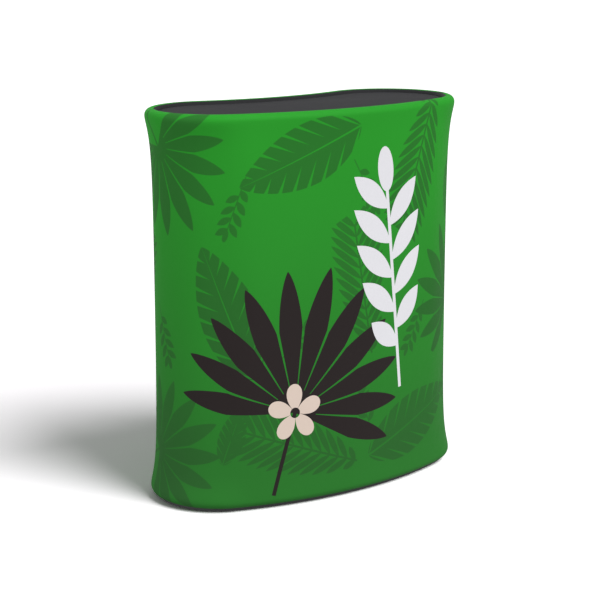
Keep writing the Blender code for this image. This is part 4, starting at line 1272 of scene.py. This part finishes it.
def flap_stitching():
    """Stitches round the flap's hem and a second row down its sewn edge."""
    low, high, hinge = FLAP_LOW + FLAP_ROW, FLAP_HIGH - FLAP_ROW, FLAP_SIDES[1] - HINGE_ROW
    a, b = FLAP_SIDES[0] + FLAP_ROW, FLAP_SIDES[1] - FLAP_ROW
    runs = [(a, low), (b, low), (b, high), (a, high), (a, low)], [(hinge, low), (hinge, high)]
    rows = [wall_path(run, FLAP_LIFT + FABRIC + HEM_RISE) for run in runs]
    stitching("flap_stitching", rows, GREEN_THREAD, "access_flap", *STITCH)


def hook_tape_stitching():
    """Stitches along the outer and inner edge of the hook tape."""
    end, rows = TAPE_END - 2 * TAPE_ROW, []
    for u, low, high in (
        (TAPE_FAR + TAPE_ROW, TAPE_LOW + TAPE_ROW, TAPE_HIGH - TAPE_ROW),
        (TAPE_NEAR - TAPE_ROW, OPEN_LOW - TAPE_ROW, OPEN_HIGH + TAPE_ROW),
    ):
        rows.append(wall_path([(end, low), (u, low), (u, high), (end, high)], SKIN_GAP + TAPE))
    stitching("hook_tape_stitching", rows, BLACK_THREAD, "frame", *STITCH)


def tab_stitching():
    """A box of stitches with a cross in it, where the tab is sewn to the flap."""
    low, high = (corner.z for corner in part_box("flap_pull_tab"))
    a, b = FLAP_SIDES[0] + TAB_ROW, FLAP_SIDES[0] + TAB_SEWN
    c, d = low + TAB_ROW, high - TAB_ROW
    runs = [(a, c), (b, c), (b, d), (a, d), (a, c), (b, d)], [(a, d), (b, c)]
    rows = [wall_path(run, TAB_LIFT + TAB_THICKNESS) for run in runs]
    stitching("tab_stitching", rows, BLACK_THREAD, "access_flap", *TAB_STITCH)


def sleeve_stitching():
    """Stitches where the elastic meets the print, and down the seam above and below the doorway."""
    rows = []
    for hoop_z, side in ((TOP_HOOP_Z, 1), (FOOT_HOOP_Z, -1)):
        turn = side * (PRINT_END - HEM_ROW_TURN)
        n = OUTLINE.at(OUTLINE.u)[1]
        ring = curl(OUTLINE.u, hoop_z, np.array([turn]), WRAP)[0]
        rows.append((ring, np.column_stack((n * math.cos(turn), np.full(len(n), math.sin(turn))))))
    for low, high in ((FOOT_HOOP_Z, DOOR_LOW - SEAM_END), (DOOR_HIGH + SEAM_END, TOP_HOOP_Z)):
        for u in (SEAM - SEAM_ROW, SEAM + SEAM_ROW):
            rows.append(wall_path([(u, low), (u, high)], 0.0))
    stitching("sleeve_stitching", rows, GREEN_THREAD, "frame", *FINE_STITCH)


# Floor, light and camera

def studio_floor():
    """A floor that looks white to the camera and keeps the counter's shadow."""
    grey = display(FLOOR_GREY, FLOOR_GREY, FLOOR_GREY)
    floor = Finish("studio_floor", grey, 1.0, Specular_IOR_Level=0.0)
    camera_ray = floor.node("ShaderNodeLightPath").outputs["Is Camera Ray"]
    seen = floor.node("ShaderNodeBsdfDiffuse", {"Color": FLOOR_SEEN}).outputs[0]
    mixed = floor.node("ShaderNodeMixShader", {0: camera_ray, 1: floor.shader.outputs[0], 2: seen})
    floor.tree.links.new(mixed.outputs[0], floor.tree.nodes["Material Output"].inputs["Surface"])
    size = FLOOR_HALF
    corners = [(-size, -size, 0), (size, -size, 0), (size, size, 0), (-size, size, 0)]
    obj = new_object("studio_floor", corners, [(0, 1, 2, 3)], [floor.material])
    return obj


def surround():
    """A plain sky that looks white to the camera."""
    world = bpy.data.worlds.new("studio_world")
    bpy.context.scene.world = world
    world.use_nodes = True
    tree = world.node_tree
    plain, seen = tree.nodes["Background"], tree.nodes.new("ShaderNodeBackground")
    for shader, strength in ((plain, WORLD_LEVEL), (seen, 1.0)):
        shader.inputs["Color"].default_value = (1, 1, 1, 1)
        shader.inputs["Strength"].default_value = strength
    path, mix = tree.nodes.new("ShaderNodeLightPath"), tree.nodes.new("ShaderNodeMixShader")
    tree.links.new(path.outputs["Is Camera Ray"], mix.inputs[0])
    tree.links.new(plain.outputs[0], mix.inputs[1])
    tree.links.new(seen.outputs[0], mix.inputs[2])
    tree.links.new(mix.outputs[0], tree.nodes["World Output"].inputs["Surface"])


def soft_light(name, level, across, azimuth, elevation, on_floor, in_gloss, floor):
    """A broad soft light. A white surface that faces it renders at its level."""
    light = bpy.data.lights.new(name, "SUN")
    light.energy = level * math.pi
    light.angle = math.radians(across)
    obj = added(name, light)
    a, e = math.radians(azimuth), math.radians(elevation)
    towards = Vector((math.cos(e) * math.cos(a), math.cos(e) * math.sin(a), math.sin(e)))
    obj.location = towards * 4
    obj.rotation_euler = towards.to_track_quat("Z", "Y").to_euler()
    obj.visible_glossy = in_gloss
    if not on_floor:
        receivers = bpy.data.collections.new(f"{name}_receivers")
        receivers.objects.link(floor)
        receivers.collection_objects[0].light_linking.link_state = "EXCLUDE"
        obj.light_linking.receiver_collection = receivers


def camera():
    """The photograph's camera, from its bearing, distance, height and pitch."""
    data = bpy.data.cameras.new("photo_camera")
    data.sensor_width = SENSOR_MM
    data.lens = CAMERA_FOCAL_PX / PHOTO_PX * SENSOR_MM
    obj = added("photo_camera", data)
    obj.location = (
        CAMERA_DISTANCE * math.sin(CAMERA_AZIMUTH),
        -CAMERA_DISTANCE * math.cos(CAMERA_AZIMUTH) - MIDDLE_Y,
        CAMERA_HEIGHT,
    )
    obj.rotation_euler = (math.pi / 2 - CAMERA_PITCH, 0, CAMERA_AZIMUTH + CAMERA_YAW)
    bpy.context.scene.camera = obj


def spigots():
    """The CAD's own spigots, in the metal of the hoops that they join."""
    for node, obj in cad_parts.items():
        if "spigot" in node:
            covered(obj.data, HOOP_METAL)


bpy.context.scene.view_settings.view_transform = "Standard"
camera()
floor = studio_floor()
surround()
for name, values in LIGHTS.items():
    soft_light(name, *values, floor)
sleeve_stitching()
sleeve()
hem("rim_band", "rim_hem", TOP_HOOP_Z, 1)
hem("foot_band", "foot_hem", FOOT_HOOP_Z, -1)
hoops()
boards()
posts()
shelf()
flap()
door_tapes()
pull_tab()
flap_stitching()
hook_tape_stitching()
tab_stitching()
spigots()
